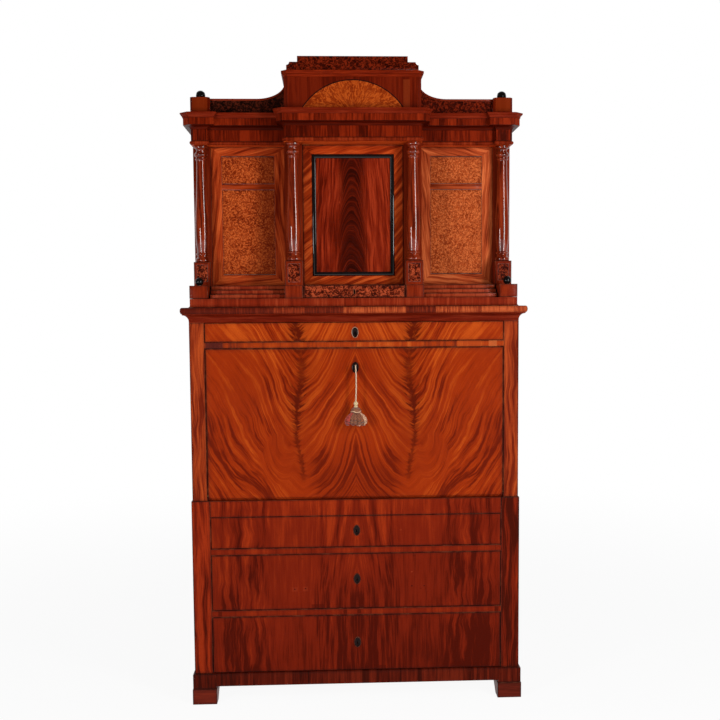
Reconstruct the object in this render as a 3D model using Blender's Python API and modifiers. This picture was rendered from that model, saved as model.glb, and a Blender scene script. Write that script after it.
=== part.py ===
"""Fall-front secretaire: a chest of three drawers, a writing compartment behind a fall,
and a cabinet shaped like a small temple on top. Metres, +Z up, the front faces -Y.
"""
import math

import bmesh
import bpy
from mathutils import Matrix, Vector

for old in list(bpy.data.objects):
    bpy.data.objects.remove(old, do_unlink=True)

# Clearances
seat_gap = 0.0003  # between pieces that touch
reveal = 0.0015  # round each drawer front, the fall and the door
slide_gap = 0.001  # between a drawer's sides and what guides them
overrun = 0.004  # how far a cutter runs past what it cuts
merge = 0.00005  # doubled corners closer than this become one
flat_angle = math.radians(0.5)  # faces this flat to each other become one

# Boards that the carcasses share
case_depth = 0.540
case_width = 1.103
side_board = 0.022
back_board = 0.012
stile_depth = 0.026
edge_soft = 0.0012  # worn edges

# Base chest
base_side_out = 0.0035  # base sides beyond those of the upper carcass
base_proud = 0.006  # base front ahead of the upper carcass
base_stile = 0.062
plinth_height = 0.051
plinth_wall = 0.030
plinth_proud = 0.008
plinth_side_proud = 0.004
plinth_block_width = 0.076
plinth_block_drop = 0.007  # corner blocks reach lower than the rail
plinth_block_proud = 0.002
base_floor_thick = 0.018
lower_opening = 0.1945
middle_opening = 0.191
upper_opening = 0.109
divider_thick = 0.022
top_rail_height = 0.055
base_top_thick = 0.018

# Feet
foot_height = 0.053
foot_width = 0.082
foot_proud = 0.006
foot_side_proud = 0.0035
foot_top_depth = 0.120
foot_sole_depth = 0.045
back_foot_size = 0.070

# Drawers
front_thick = 0.022
drawer_wall = 0.012
drawer_floor = 0.008
drawer_back_room = 0.040  # left free behind a drawer
drawer_side_drop = 0.018  # drawer sides are lower than their front
lock_plate_width = 0.023
lock_plate_height = 0.037
lock_plate_thick = 0.0018
keyhole_radius = 0.0026
keyhole_slot = 0.0032
keyhole_drop = 0.009
keyhole_depth = 0.010
plate_shares = {"lower": 0.51, "middle": 0.54, "upper": 0.53, "top": 0.46}  # up each front

# Upper carcass
case_stile = 0.050
fall_opening = 0.5135
fall_rail = 0.020
top_opening = 0.066
cove_height = 0.0285
cove_out = 0.0195
top_thick = 0.0215
top_out = 0.0255
cove_frame = 0.045  # width of the frame under the top board
side_reveal = 0.002  # between the fall and its stiles

# Fall, its pivots and its quadrant stays
fall_thick = 0.026
pivot_behind = 0.010  # behind the fall's outer face
pivot_above = 0.016  # above the fall's lower edge
pivot_pin = 0.0030
pivot_pin_gap = 0.0003
pivot_reach = 0.012
pivot_plate = 0.022
fall_toe_round = 0.006
fall_swing = 0.0015  # between the fall's sweep and the writing floor
stay_radius = 0.170
stay_width = 0.014
stay_thick = 0.003
stay_inset = 0.014  # from the fall's end to its stay
stay_over = math.radians(3.0)  # past a quarter turn
stay_foot_length = 0.050
stay_foot_thick = 0.0015
stay_slot = 0.007
stay_slot_depth = 0.0275

# Key and tassel
key_drop = 0.067  # from the fall's upper edge to the key
key_shank = 0.0032
key_reach = 0.0165  # from the lock plate to the bow's middle
key_tail = 0.020
key_bow = 0.0115
key_wire = 0.0017
key_collar = 0.0050
key_collar_thick = 0.003
key_hole_gap = 0.0005
cord_thick = 0.0050
cord_length = 0.120
cord_rise = 0.010  # cord's top above the key's axis
cord_sway = 0.0018  # sideways, half way down
cord_points = 11
collar_height = 0.021
head_height = 0.017
head_width = 0.030
skirt_height = 0.048
skirt_width = 0.080
skirt_depth = 0.040

# Pigeonholes behind the fall
nest_setback = 0.052  # behind the fall's inner face
nest_side_room = 0.050
nest_wall = 0.010
nest_back = 0.008
nest_middle_width = 0.230
nest_drawer_height = 0.085
nest_shelf_height = 0.150
nest_columns = 3
niche_share = 0.62
nest_knob = 0.007
nest_drawer_travel = 0.040

# Temple base
deck_height = 0.0295
deck_side_out = 0.0009
deck_setback = 0.008  # behind the front of the upper carcass
deck_cove = 0.004
step_count = 3
step_tread = 0.024
step_first_setback = 0.027
cheek_width = 0.0605
cheek_height = 0.0435
cheek_inset = 0.0035
ball_radius = 0.014
ball_neck = 0.006

# Pedestals and columns
pedestal_height = 0.125
inner_pedestal = 0.060
outer_pedestal = 0.0565
inner_pedestal_setback = 0.006  # behind the deck's front
outer_pedestal_setback = 0.087
pedestal_foot_proud = 0.002
pedestal_panel_inset = 0.0095
pedestal_panel_sink = 0.0012
temple_half = 0.2312  # outer side of each inner pedestal
temple_wing_inset = 0.0097  # from the deck's end to the outer side of an outer pedestal
column_height = 0.392
column_foot_height = 0.032
capital_height = 0.053
column_foot_radius = 0.0212
column_neck_radius = 0.0158
column_entasis = 0.0008

# Cupboard and wings of the temple
pilaster_gap = 0.0025  # behind a column's foot
door_setback = 0.022  # behind the inner pilasters
door_thick = 0.022
door_sill = 0.0015
cupboard_wall = 0.022
cupboard_floor = 0.015
ledge_thick = 0.010  # board over the burr drawer, before the door
wing_setback = 0.006  # behind the outer pilasters
burr_inset_side = 0.0365
burr_inset_end = 0.039
burr_bar_height = 0.0185
burr_bar_drop = 0.090
burr_sink = 0.0015
bead_inset = 0.037
bead_width = 0.0115
bead_proud = 0.005
door_pivot_in = 0.0125
door_pivot_back = 0.005
door_pin = 0.0020
door_pin_length = 0.012
door_plate = 0.0012
door_plate_length = 0.024
burr_drawer_setback = 0.003
burr_drawer_length = 0.330

# Entablature, breaking forward over the columns
pilaster_side_out = 0.0017  # beyond the outer pedestals
block_width = 0.0560
architrave_height = 0.014
architrave_out = 0.005
frieze_height = 0.048
frieze_cove = 0.012
corona_height = 0.0245
corona_out = 0.024
crown_height = 0.0165
crown_out = 0.034
break_depth = 0.020
entablature_wall = 0.030
corner_cant = 0.008

# Attic, crestings and corner posts
attic_inset = 0.0033  # behind the outer side of each inner pedestal
attic_height = 0.1060
attic_depth = 0.240
attic_setback = 0.008
attic_cant = 0.012
attic_crown_height = 0.0205
attic_crown_out = 0.0085
lunette_half = 0.164
lunette_rise = 0.087
lunette_proud = 0.0012
cap_inset = 0.0092
cap_lower_height = 0.0280
cap_step_in = 0.036
cap_upper_height = 0.0190
cap_notch = 0.010
cap_setback = 0.012
post_size = 0.0655
post_height = 0.054
post_cant = 0.0075
post_foot_out = 0.0015
post_foot_height = 0.008
finial_height = 0.026
finial_radius = 0.0155
finial_skirt = 0.019
crest_thick = 0.022
crest_height = 0.052
crest_rise = 0.0525
crest_flat = 0.155

# Joint travel that the source must leave room for
drawer_travel = 0.330

# Faces round a turned piece
turn_steps = 28
small_turn_steps = 16

# Levels, from the floor up
plinth_level = foot_height
base_level = plinth_level + plinth_height
lower_divider_level = base_level + lower_opening
middle_level = lower_divider_level + divider_thick
upper_divider_level = middle_level + middle_opening
upper_level = upper_divider_level + divider_thick
top_rail_level = upper_level + upper_opening
case_level = top_rail_level + top_rail_height
fall_top_level = case_level + fall_opening
top_drawer_level = fall_top_level + fall_rail
cove_level = top_drawer_level + top_opening
top_level = cove_level + cove_height
deck_level = top_level + top_thick
temple_level = deck_level + deck_height
column_level = temple_level + pedestal_height
architrave_level = column_level + column_height
frieze_level = architrave_level + architrave_height
corona_level = frieze_level + frieze_height
crown_level = corona_level + corona_height
attic_level = crown_level + crown_height
attic_crown_level = attic_level + attic_height
cap_level = attic_crown_level + attic_crown_height

# Planes, from the front back. The origin lies midway between the key's bow and the back
key_forward = lock_plate_thick + seat_gap + key_reach + key_bow + key_wire
case_front = key_forward - (case_depth + key_forward) / 2
case_back = case_front + case_depth
base_front = case_front - base_proud
plinth_front = base_front - plinth_proud
foot_front = plinth_front - foot_proud
fall_inner = case_front + fall_thick
deck_front = case_front + deck_setback
inner_pedestal_front = deck_front + inner_pedestal_setback
outer_pedestal_front = deck_front + outer_pedestal_setback
inner_column_y = inner_pedestal_front + inner_pedestal / 2
outer_column_y = outer_pedestal_front + outer_pedestal / 2
column_base_shares = [
    (0.0, 0.0), (1.15, 0.0), (1.19, 0.08), (1.19, 0.24), (1.13, 0.34), (1.0, 0.40),
    (0.94, 0.52), (0.96, 0.66), (1.07, 0.74), (1.09, 0.86), (1.0, 0.97),
]
column_foot_reach = column_foot_radius * max(share[0] for share in column_base_shares)
inner_pilaster_front = inner_column_y + column_foot_reach + pilaster_gap
outer_pilaster_front = outer_column_y + column_foot_reach + pilaster_gap
door_front = inner_pilaster_front + door_setback
door_back = door_front + door_thick
door_axis_y = door_front + door_pivot_back
door_sweep = math.hypot(door_pivot_in, door_thick - door_pivot_back)
cupboard_front = door_axis_y + door_sweep + reveal
wing_front = outer_pilaster_front + wing_setback
frieze_centre_front = inner_pedestal_front
frieze_block_front = outer_pedestal_front
frieze_wing_front = frieze_block_front + break_depth

# Half widths
case_half = case_width / 2
base_half = case_half + base_side_out
base_inner = base_half - base_stile
case_inner = case_half - case_stile
fall_half = case_inner - side_reveal
plinth_half = base_half + plinth_side_proud
foot_half = plinth_half + foot_side_proud
deck_half = case_half + deck_side_out
temple_wing_half = deck_half - temple_wing_inset
entablature_half = temple_wing_half + pilaster_side_out
attic_half = temple_half - attic_inset
cap_lower_half = attic_half - cap_inset
cap_upper_half = cap_lower_half - cap_step_in
door_side = temple_half - inner_pedestal
inner_column_x = temple_half - inner_pedestal / 2
outer_column_x = temple_wing_half - outer_pedestal / 2

# Where the fall turns and the key sits
pivot_y = case_front + pivot_behind
pivot_z = case_level + reveal + pivot_above
writing_level = pivot_z + fall_thick - pivot_behind
fall_top = fall_top_level - reveal
fall_bottom = case_level + reveal
key_z = fall_top_level - key_drop
plate_front = case_front - lock_plate_thick - seat_gap
bow_y = plate_front - key_reach
cord_y = bow_y - key_bow - key_wire - seat_gap - cord_thick / 2
pivot_sweep = math.hypot(fall_thick - pivot_behind, pivot_above)
floor_front = pivot_y + pivot_sweep + fall_swing

PARTS = bpy.data.collections.new("secretaire")
CUTTERS = bpy.data.collections.new("cutters")
bpy.context.scene.collection.children.link(PARTS)
bpy.context.scene.collection.children.link(CUTTERS)

# Colour, roughness and metallic value of each finish
FINISHES = {
    "mahogany": ((0.36, 0.075, 0.018), 0.28, 0.0),
    "dark_mahogany": ((0.20, 0.035, 0.012), 0.28, 0.0),
    "burr": ((0.42, 0.17, 0.045), 0.30, 0.0),
    "ebony": ((0.012, 0.010, 0.010), 0.22, 0.0),
    "pine": ((0.55, 0.33, 0.15), 0.65, 0.0),
    "brass": ((0.62, 0.44, 0.16), 0.30, 1.0),
    "steel": ((0.30, 0.28, 0.26), 0.40, 1.0),
    "silk": ((0.62, 0.48, 0.32), 0.85, 0.0),
    "tuft": ((0.50, 0.24, 0.13), 0.90, 0.0),
}


def paint(item, finish):
    """Give a piece its own material in one of the finishes."""
    color, roughness, metallic = FINISHES[finish]
    material = bpy.data.materials.new(item.name + "_" + finish)
    material.use_nodes = True
    shader = material.node_tree.nodes["Principled BSDF"]
    shader.inputs["Base Color"].default_value = (*color, 1.0)
    shader.inputs["Roughness"].default_value = roughness
    shader.inputs["Metallic"].default_value = metallic
    item.data.materials.append(material)


def place(name, mesh, finish, spot=(0, 0, 0), parent=None, own_origin=False):
    """Make an object of a mesh, in the parts' collection or, with no finish, as a cutter.
    Only a piece with its own origin is moved: any other keeps its parent's origin."""
    offset = Vector(spot)
    if parent:
        offset -= parent.location
    if not own_origin:
        mesh.transform(Matrix.Translation(offset))
        offset = Vector((0, 0, 0))
    item = bpy.data.objects.new(name, mesh)
    home = PARTS if finish else CUTTERS
    home.objects.link(item)
    if finish:
        paint(item, finish)
    else:
        item.hide_render = True
        item.display_type = "WIRE"
    item.location = offset
    item.parent = parent
    return item


def block(name, low, high, finish=None, parent=None):
    """Box between two opposite corners."""
    shift = parent.location if parent else Vector((0, 0, 0))
    bm = bmesh.new()
    bmesh.ops.create_cube(bm, size=1)
    for vert in bm.verts:
        vert.co = [
            (max(a, b) if side > 0 else min(a, b)) - back
            for a, b, side, back in zip(low, high, vert.co, shift)
        ]
    mesh = bpy.data.meshes.new(name)
    bm.to_mesh(mesh)
    bm.free()
    item = place(name, mesh, finish)
    item.parent = parent
    return item


def mirrored(side, low, high):
    """The same box on the left or the right: X is measured outwards."""
    return (side * low[0], low[1], low[2]), (side * high[0], high[1], high[2])


def rod(name, radius, length, spot, axis, finish=None, parent=None, steps=small_turn_steps, tall=1):
    """Cylinder centred on a spot, along X, Y or Z, stretched upright where asked."""
    bm = bmesh.new()
    bmesh.ops.create_cone(
        bm, cap_ends=True, segments=steps, radius1=radius, radius2=radius, depth=length
    )
    mesh = bpy.data.meshes.new(name)
    bm.to_mesh(mesh)
    bm.free()
    mesh.transform(Vector((0, 0, 1)).rotation_difference(Vector(axis)).to_matrix().to_4x4())
    mesh.transform(Matrix.Scale(tall, 4, (0, 0, 1)))
    return place(name, mesh, finish, spot, parent)


PLANES = {
    "x": Matrix(((0, 0, 1), (1, 0, 0), (0, 1, 0))).to_4x4(),
    "y": Matrix(((1, 0, 0), (0, 0, -1), (0, 1, 0))).to_4x4(),
    "z": Matrix.Identity(4),
}


def plate(name, outline, low, high, axis, finish=None, parent=None):
    """Flat outline of two coordinates, given a thickness from low to high along an axis."""
    curve = bpy.data.curves.new(name, "CURVE")
    curve.dimensions = "2D"
    curve.fill_mode = "BOTH"
    curve.extrude = abs(high - low) / 2
    spline = curve.splines.new("POLY")
    spline.points.add(len(outline) - 1)
    for point, (across, along) in zip(spline.points, outline):
        point.co = (across, along, 0, 1)
    spline.use_cyclic_u = True
    sketch = bpy.data.objects.new(name + "_outline", curve)
    CUTTERS.objects.link(sketch)
    bpy.context.view_layer.update()
    mesh = bpy.data.meshes.new_from_object(sketch.evaluated_get(bpy.context.evaluated_depsgraph_get()))
    bpy.data.objects.remove(sketch)
    bm = bmesh.new()
    bm.from_mesh(mesh)
    bmesh.ops.remove_doubles(bm, verts=bm.verts, dist=merge)
    bmesh.ops.dissolve_limit(bm, angle_limit=flat_angle, verts=bm.verts, edges=bm.edges)
    bmesh.ops.recalc_face_normals(bm, faces=bm.faces)
    bm.to_mesh(mesh)
    bm.free()
    mesh.transform(PLANES[axis])
    middle = (low + high) / 2
    spot = {"x": (middle, 0, 0), "y": (0, middle, 0), "z": (0, 0, middle)}[axis]
    return place(name, mesh, finish, spot, parent)


def turned(name, profile, spot, finish=None, parent=None, steps=turn_steps):
    """Profile of radius and height, listed from its top down, turned round Z."""
    mesh = bpy.data.meshes.new(name)
    points = [(radius, 0, height) for radius, height in profile]
    mesh.from_pydata(points, [(i, i + 1) for i in range(len(points) - 1)], [])
    item = place(name, mesh, finish, spot, parent, own_origin=True)
    screw = item.modifiers.new("turn", "SCREW")
    screw.axis = "Z"
    screw.steps = steps
    screw.render_steps = steps
    screw.use_merge_vertices = True
    screw.merge_threshold = merge
    return item


def outward(start, end):
    """Normal of an edge of an outline that runs anticlockwise."""
    return Vector((end[1] - start[1], start[0] - end[0])).normalized()


def moulding(name, outline, profile, finish=None, parent=None):
    """Loft of an anticlockwise plan through (projection, height) pairs, with mitred corners.
    A side that faces back stays in its plane."""
    shifts = []
    for i, point in enumerate(outline):
        before = outward(outline[i - 1], point)
        after = outward(point, outline[(i + 1) % len(outline)])
        reach = [0.0 if normal.y > 0.9 else 1.0 for normal in (before, after)]
        cross = before.x * after.y - before.y * after.x
        shifts.append(Vector((
            (reach[0] * after.y - reach[1] * before.y) / cross,
            (reach[1] * before.x - reach[0] * after.x) / cross,
        )))
    bm = bmesh.new()
    corner = bm.verts.layers.int.new("corner")
    for i, (x, y) in enumerate(outline):
        bm.verts.new((x, y, 0))[corner] = i
    face = bm.faces.new(bm.verts)
    for i, (out, height) in enumerate(profile):
        if i > 0:
            grown = bmesh.ops.extrude_face_region(bm, geom=[face, *face.edges])
            face = [part for part in grown["geom"] if isinstance(part, bmesh.types.BMFace)][0]
        for vert in face.verts:
            point = outline[vert[corner]]
            shift = shifts[vert[corner]]
            vert.co = (point[0] + shift.x * out, point[1] + shift.y * out, height)
    bmesh.ops.recalc_face_normals(bm, faces=bm.faces)
    mesh = bpy.data.meshes.new(name)
    bm.to_mesh(mesh)
    bm.free()
    return place(name, mesh, finish, (0, 0, 0), parent)


def canted(outline, corners, cut):
    """Outline with some of its corners cut off at an angle."""
    result = []
    for i, point in enumerate(outline):
        here = Vector(point)
        if i not in corners:
            result.append(tuple(here))
            continue
        for other in (outline[i - 1], outline[(i + 1) % len(outline)]):
            result.append(tuple(here + (Vector(other) - here).normalized() * cut))
    return result


def mix(item, other, operation):
    """Cut a piece with another, or join the other to it."""
    modifier = item.modifiers.new(operation.lower(), "BOOLEAN")
    modifier.operation = operation
    modifier.solver = "EXACT"
    modifier.object = other
    return item


def cut(item, *others):
    """Take other shapes out of a piece."""
    for other in others:
        mix(item, other, "DIFFERENCE")
    return item


def join(item, *others):
    """Make other shapes part of a piece."""
    for other in others:
        mix(item, other, "UNION")
    return item


def soften(item, width=edge_soft, segments=1):
    """Ease the sharp edges of a piece."""
    bevel = item.modifiers.new("eased_edges", "BEVEL")
    bevel.width = width
    bevel.segments = segments
    bevel.limit_method = "ANGLE"
    bevel.angle_limit = math.radians(40)
    return item


def axis_empty(name, spot):
    """Empty on a joint's axis, which carries the moving pieces."""
    empty = bpy.data.objects.new(name, None)
    PARTS.objects.link(empty)
    empty.location = spot
    return empty


def arc(centre, radius, start, end, count):
    """Points of an arc, from one angle to another."""
    steps = [start + (end - start) * i / (count - 1) for i in range(count)]
    return [(centre[0] + radius * math.cos(a), centre[1] + radius * math.sin(a)) for a in steps]


def left_right():
    """Both sides, as a word and a sign."""
    return (("left", -1), ("right", 1))


def facing(side, outline):
    """Outline moved to the left or the right side, kept anticlockwise."""
    points = [(side * x, y) for x, y in outline]
    return points if side > 0 else points[::-1]


def side_panel(name, half, stile, front, low, high, side):
    """Side board with its front stile, one L in plan."""
    inner = half - side_board
    outline = [
        (half - stile, front), (half, front), (half, case_back),
        (inner, case_back), (inner, front + stile_depth), (half - stile, front + stile_depth),
    ]
    plate(name, facing(side, outline), low, high, "z", "mahogany")


def board_behind_stiles(name, half, stile, front, low, high):
    """Board that fills a carcass, notched round the two stiles."""
    outer = half - side_board - seat_gap
    inner = half - stile - seat_gap
    notch = front + stile_depth + seat_gap
    rear = case_back - back_board - seat_gap
    outline = [
        (-inner, front), (inner, front), (inner, notch), (outer, notch),
        (outer, rear), (-outer, rear), (-outer, notch), (-inner, notch),
    ]
    return plate(name, outline, low, high, "z", "mahogany")


def build_feet():
    """Front feet that taper back to the sole, and square feet behind."""
    top = plinth_level - seat_gap
    for word, side in left_right():
        outer = foot_half
        inner = foot_half - foot_width
        profile = [
            (foot_front, 0), (foot_front + foot_sole_depth, 0),
            (foot_front + foot_top_depth, top), (foot_front, top),
        ]
        edges = sorted((side * inner, side * outer))
        soften(plate("foot_front_" + word, profile, *edges, "x", "dark_mahogany"))
        rear = case_back - edge_soft
        low, high = mirrored(side, (outer - back_foot_size, rear - back_foot_size, 0), (outer, rear, top))
        soften(block("foot_back_" + word, low, high, "dark_mahogany"))


def build_plinth():
    """Frame under the base chest, with a deeper block at each front corner."""
    top = base_level - seat_gap
    low_rail = plinth_level + plinth_block_drop
    frame = soften(block(
        "plinth", (-plinth_half, plinth_front, low_rail), (plinth_half, case_back, top), "dark_mahogany"
    ))
    for word, side in left_right():
        inner = plinth_half - plinth_block_width
        outer = plinth_half + plinth_block_proud
        for place_name, front, depth in (
            ("front", plinth_front - plinth_block_proud, foot_top_depth),
            ("back", case_back - back_foot_size - seat_gap, back_foot_size),
        ):
            low, high = mirrored(
                side, (inner, front, plinth_level), (outer, front + depth, top - seat_gap)
            )
            join(frame, soften(block("plinth_block_" + place_name + word, low, high)))
    floor_seat = base_level - base_floor_thick - seat_gap
    for name, wall, low, high in (
        ("plinth_rebate", plinth_wall - seat_gap, floor_seat, top + overrun),
        ("plinth_hollow", 2 * plinth_wall, low_rail - overrun, floor_seat + overrun),
    ):
        cut(frame, block(
            name, (-plinth_half + wall, plinth_front + wall, low),
            (plinth_half - wall, case_back - wall, high),
        ))


def build_base():
    """Carcass of the base chest."""
    top = case_level - seat_gap
    for word, side in left_right():
        side_panel("base_side_" + word, base_half, base_stile, base_front, base_level, top, side)
    inner = base_half - side_board - seat_gap
    block(
        "base_back",
        (-inner, case_back - back_board, base_level),
        (inner, case_back, top), "pine",
    )
    floor_half = plinth_half - plinth_wall - seat_gap
    block(
        "base_floor",
        (-floor_half, plinth_front + plinth_wall + seat_gap, base_level - base_floor_thick),
        (floor_half, case_back - plinth_wall - seat_gap, base_level - seat_gap), "pine",
    )
    for name, level in (("divider_lower", lower_divider_level), ("divider_upper", upper_divider_level)):
        board_behind_stiles(name, base_half, base_stile, base_front, level, level + divider_thick)
    notch = base_front + stile_depth + seat_gap
    rear = case_back - back_board - seat_gap
    rail = block("base_top_rail", (-inner, notch, top - base_top_thick), (inner, rear, top), "mahogany")
    rail_half = base_half - base_stile - seat_gap
    join(rail, block(
        "base_top_rail_front",
        (-rail_half, base_front, top_rail_level), (rail_half, notch + overrun, top - seat_gap),
    ))


def keyhole(name, x, z, front, depth, parent=None):
    """Round hole over a slot, as a cutter."""
    hole = rod(
        name, keyhole_radius, 2 * depth, (x, front, z), (0, 1, 0), None, parent, small_turn_steps
    )
    slot = block(
        name + "_slot",
        (x - keyhole_slot / 2, front - depth, z - keyhole_drop),
        (x + keyhole_slot / 2, front + depth, z), None, parent,
    )
    return hole, slot


def oval(name, x, z, back, thick, finish=None, parent=None):
    """Oval lock plate, upright against a front."""
    return rod(
        name, lock_plate_width / 2, thick, (x, back - thick / 2, z), (0, 1, 0), finish, parent,
        turn_steps, lock_plate_height / lock_plate_width,
    )


def drawer(name, half, low, high, front, length, plate_share=None, finish="mahogany"):
    """Drawer with its front, its box and, where a share of its height is given, a lock plate."""
    slide = axis_empty(name + "_slide", (0, front, low))
    face_low = low + reveal
    face_high = high - reveal
    box_half = half - slide_gap
    body = soften(block(
        name, (-half + reveal, front, face_low), (half - reveal, front + front_thick, face_high),
        finish, slide,
    ))
    box_low = low + seat_gap
    box_high = face_high - drawer_side_drop
    join(body, block(
        name + "_box",
        (-box_half, front + front_thick / 2, box_low), (box_half, front + length, box_high), None, slide,
    ))
    cut(body, block(
        name + "_inside",
        (-box_half + drawer_wall, front + front_thick - seat_gap, box_low + drawer_floor),
        (box_half - drawer_wall, front + length - drawer_wall, face_high + overrun), None, slide,
    ))
    z = (face_low + face_high) / 2
    if plate_share is not None:
        z = face_low + (face_high - face_low) * plate_share
        join(body, oval(
            name + "_plate", 0, z, front + lock_plate_thick, 2 * lock_plate_thick, None, slide
        ))
    cut(body, *keyhole(name + "_keyhole", 0, z, front, keyhole_depth, slide))
    return body


def build_base_drawers():
    """Three drawers between the base's stiles."""
    length = case_depth + base_proud - back_board - drawer_back_room
    spans = (
        ("lower", base_level, lower_divider_level),
        ("middle", middle_level, upper_divider_level),
        ("upper", upper_level, top_rail_level),
    )
    for word, low, high in spans:
        drawer("drawer_" + word, base_inner, low, high, base_front, length, plate_shares[word])


def build_case():
    """Upper carcass, from the writing floor to the top board."""
    for word, side in left_right():
        side_panel(
            "case_side_" + word, case_half, case_stile, case_front, case_level, cove_level - seat_gap, side
        )
    inner = case_half - side_board - seat_gap
    block(
        "case_back", (-inner, case_back - back_board, case_level),
        (inner, case_back, cove_level - seat_gap), "pine",
    )
    rear = case_back - back_board - seat_gap
    floor = block(
        "writing_floor", (-inner, floor_front, case_level), (inner, rear, writing_level), "mahogany"
    )
    stay_x = fall_half - stay_inset
    slot_reach = stay_radius + stay_width
    for word, side in left_right():
        low, high = mirrored(
            side, (stay_x - stay_slot / 2, floor_front + front_thick, writing_level - stay_slot_depth),
            (stay_x + stay_slot / 2, pivot_y + slot_reach, writing_level + overrun),
        )
        cut(floor, block("stay_slot_" + word, low, high))
    soften(floor)
    board_behind_stiles(
        "top_drawer_floor", case_half, case_stile, case_front, fall_top_level, top_drawer_level
    )
    length = case_depth - back_board - drawer_back_room
    drawer("drawer_top", case_inner, top_drawer_level, cove_level, case_front, length, plate_shares["top"])


def build_case_top():
    """Cove moulding and rounded top board, one frame with the board over it."""
    outline = [
        (-case_half, case_back), (-case_half, case_front), (case_half, case_front), (case_half, case_back),
    ]
    fillet = cove_height / 8
    hollow = cove_height - 2 * fillet
    profile = [(0, cove_level), (0, cove_level + fillet)]
    for i in range(1, 6):
        angle = math.pi / 2 * i / 5
        profile.append((cove_out * (1 - math.cos(angle)), cove_level + fillet + hollow * math.sin(angle)))
    profile.append((cove_out, top_level - seat_gap))
    nose = top_thick / 2
    for i in range(5):
        angle = -math.pi / 2 + math.pi * i / 4
        profile.append((
            top_out - nose / 2 + nose / 2 * math.cos(angle), top_level + nose + nose * math.sin(angle)
        ))
    top = moulding("case_top", outline, profile, "mahogany")
    cut(top, block(
        "case_top_hollow",
        (-case_half + cove_frame, case_front + cove_frame, cove_level - overrun),
        (case_half - cove_frame, case_back - cove_frame, top_level + top_thick / 3),
    ))


def build_fall():
    """Fall front on its pivots, with the stays that ride on it."""
    hinge = axis_empty("fall_axis", (0, pivot_y, pivot_z))
    fall = block(
        "fall_front", (-fall_half, case_front, fall_bottom), (fall_half, fall_inner, fall_top),
        "mahogany", hinge,
    )
    toe = fall_toe_round
    corner = (case_front + toe, fall_bottom + toe)
    sliver = [(case_front - overrun, fall_bottom - overrun), (case_front + toe, fall_bottom - overrun)]
    sliver += arc(corner, toe, -math.pi / 2, -math.pi, 5)
    sliver += [(case_front - overrun, fall_bottom + toe)]
    cut(fall, plate("fall_toe", sliver, -case_half, case_half, "x", None, hinge))
    soften(fall)
    shank_hole = rod(
        "shank_hole", key_shank + key_hole_gap, 2 * fall_thick, (0, case_front + fall_thick / 2, key_z),
        (0, 1, 0), None, hinge,
    )
    cut(fall, shank_hole)
    plate_item = oval("fall_lock_plate", 0, key_z, case_front - seat_gap, lock_plate_thick, "ebony", hinge)
    cut(plate_item, rod(
        "plate_hole", key_shank + key_hole_gap, fall_thick, (0, plate_front, key_z), (0, 1, 0), None, hinge,
    ))
    for word, side in left_right():
        build_stay(word, side, hinge)
        build_fall_pivot(word, side, fall)
    build_key(hinge)


def build_fall_pivot(word, side, fall):
    """Brass pin with a round flange between the fall's end and its stile."""
    flange = side_reveal - 2 * seat_gap
    middle = fall_half + side_reveal / 2
    spot = (side * middle, pivot_y, pivot_z)
    pivot = rod("fall_pivot_" + word, pivot_plate / 4, flange, spot, (1, 0, 0), "brass")
    join(pivot, rod("fall_pin_" + word, pivot_pin, 2 * pivot_reach, spot, (1, 0, 0)))
    bore_radius = pivot_pin + pivot_pin_gap
    bore_length = 2 * (pivot_reach + seat_gap)
    cut(fall, rod("fall_bore_" + word, bore_radius, bore_length, spot, (1, 0, 0)))
    stile = bpy.data.objects["case_side_" + word]
    cut(stile, rod("stile_bore_" + word, bore_radius, bore_length, spot, (1, 0, 0)))


def build_stay(word, side, hinge):
    """Brass quadrant round the fall's axis, with a foot against the fall's inner face."""
    centre = (pivot_y, pivot_z)
    outer = stay_radius + stay_width / 2
    inner = stay_radius - stay_width / 2
    foot_y = fall_inner + seat_gap
    start = math.acos((foot_y - pivot_y) / stay_radius)
    end = -stay_over
    outline = arc(centre, outer, start, end, 16) + arc(centre, inner, end, start, 16)
    x = side * (fall_half - stay_inset)
    stay = plate(
        "fall_stay_" + word, outline, x - stay_thick / 2, x + stay_thick / 2, "x", "brass", hinge
    )
    foot_z = pivot_z + stay_radius * math.sin(start)
    join(stay, block(
        "stay_foot_" + word,
        (x - 2 * stay_thick, foot_y, foot_z - stay_foot_length / 2),
        (x + 2 * stay_thick, foot_y + stay_foot_thick, foot_z + stay_foot_length / 2), None, hinge,
    ))
    cut(stay, block(
        "stay_trim_" + word,
        (x - 4 * stay_thick, case_front, foot_z - stay_foot_length),
        (x + 4 * stay_thick, foot_y, foot_z + stay_foot_length), None, hinge,
    ))


def build_key(hinge):
    """Key in the fall's lock, with the tassel that hangs from its bow."""
    turn = axis_empty("key_axis", (0, bow_y, key_z))
    front = bow_y + key_bow - key_wire / 3
    back = case_front + key_tail
    key = rod(
        "key", key_shank, back - front, (0, (front + back) / 2, key_z), (0, 1, 0), "steel", turn,
    )
    collar_y = plate_front - seat_gap - key_collar_thick / 2
    join(key, rod(
        "key_collar", key_collar, key_collar_thick, (0, collar_y, key_z), (0, 1, 0), None, turn
    ))
    bpy.ops.mesh.primitive_torus_add(
        major_segments=24, minor_segments=8, major_radius=key_bow, minor_radius=key_wire,
    )
    ring = bpy.context.object
    ring.name = "key_bow"
    ring.data.transform(PLANES["x"])
    for home in list(ring.users_collection):
        home.objects.unlink(ring)
    CUTTERS.objects.link(ring)
    ring.hide_render = True
    ring.display_type = "WIRE"
    ring.parent = turn
    ring.location = (0, 0, 0)
    join(key, ring)
    swing = axis_empty("tassel_axis", (0, bow_y, key_z))
    build_tassel(swing)
    for carried in (turn, swing):
        carried.parent = hinge
        carried.location -= hinge.location


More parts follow.
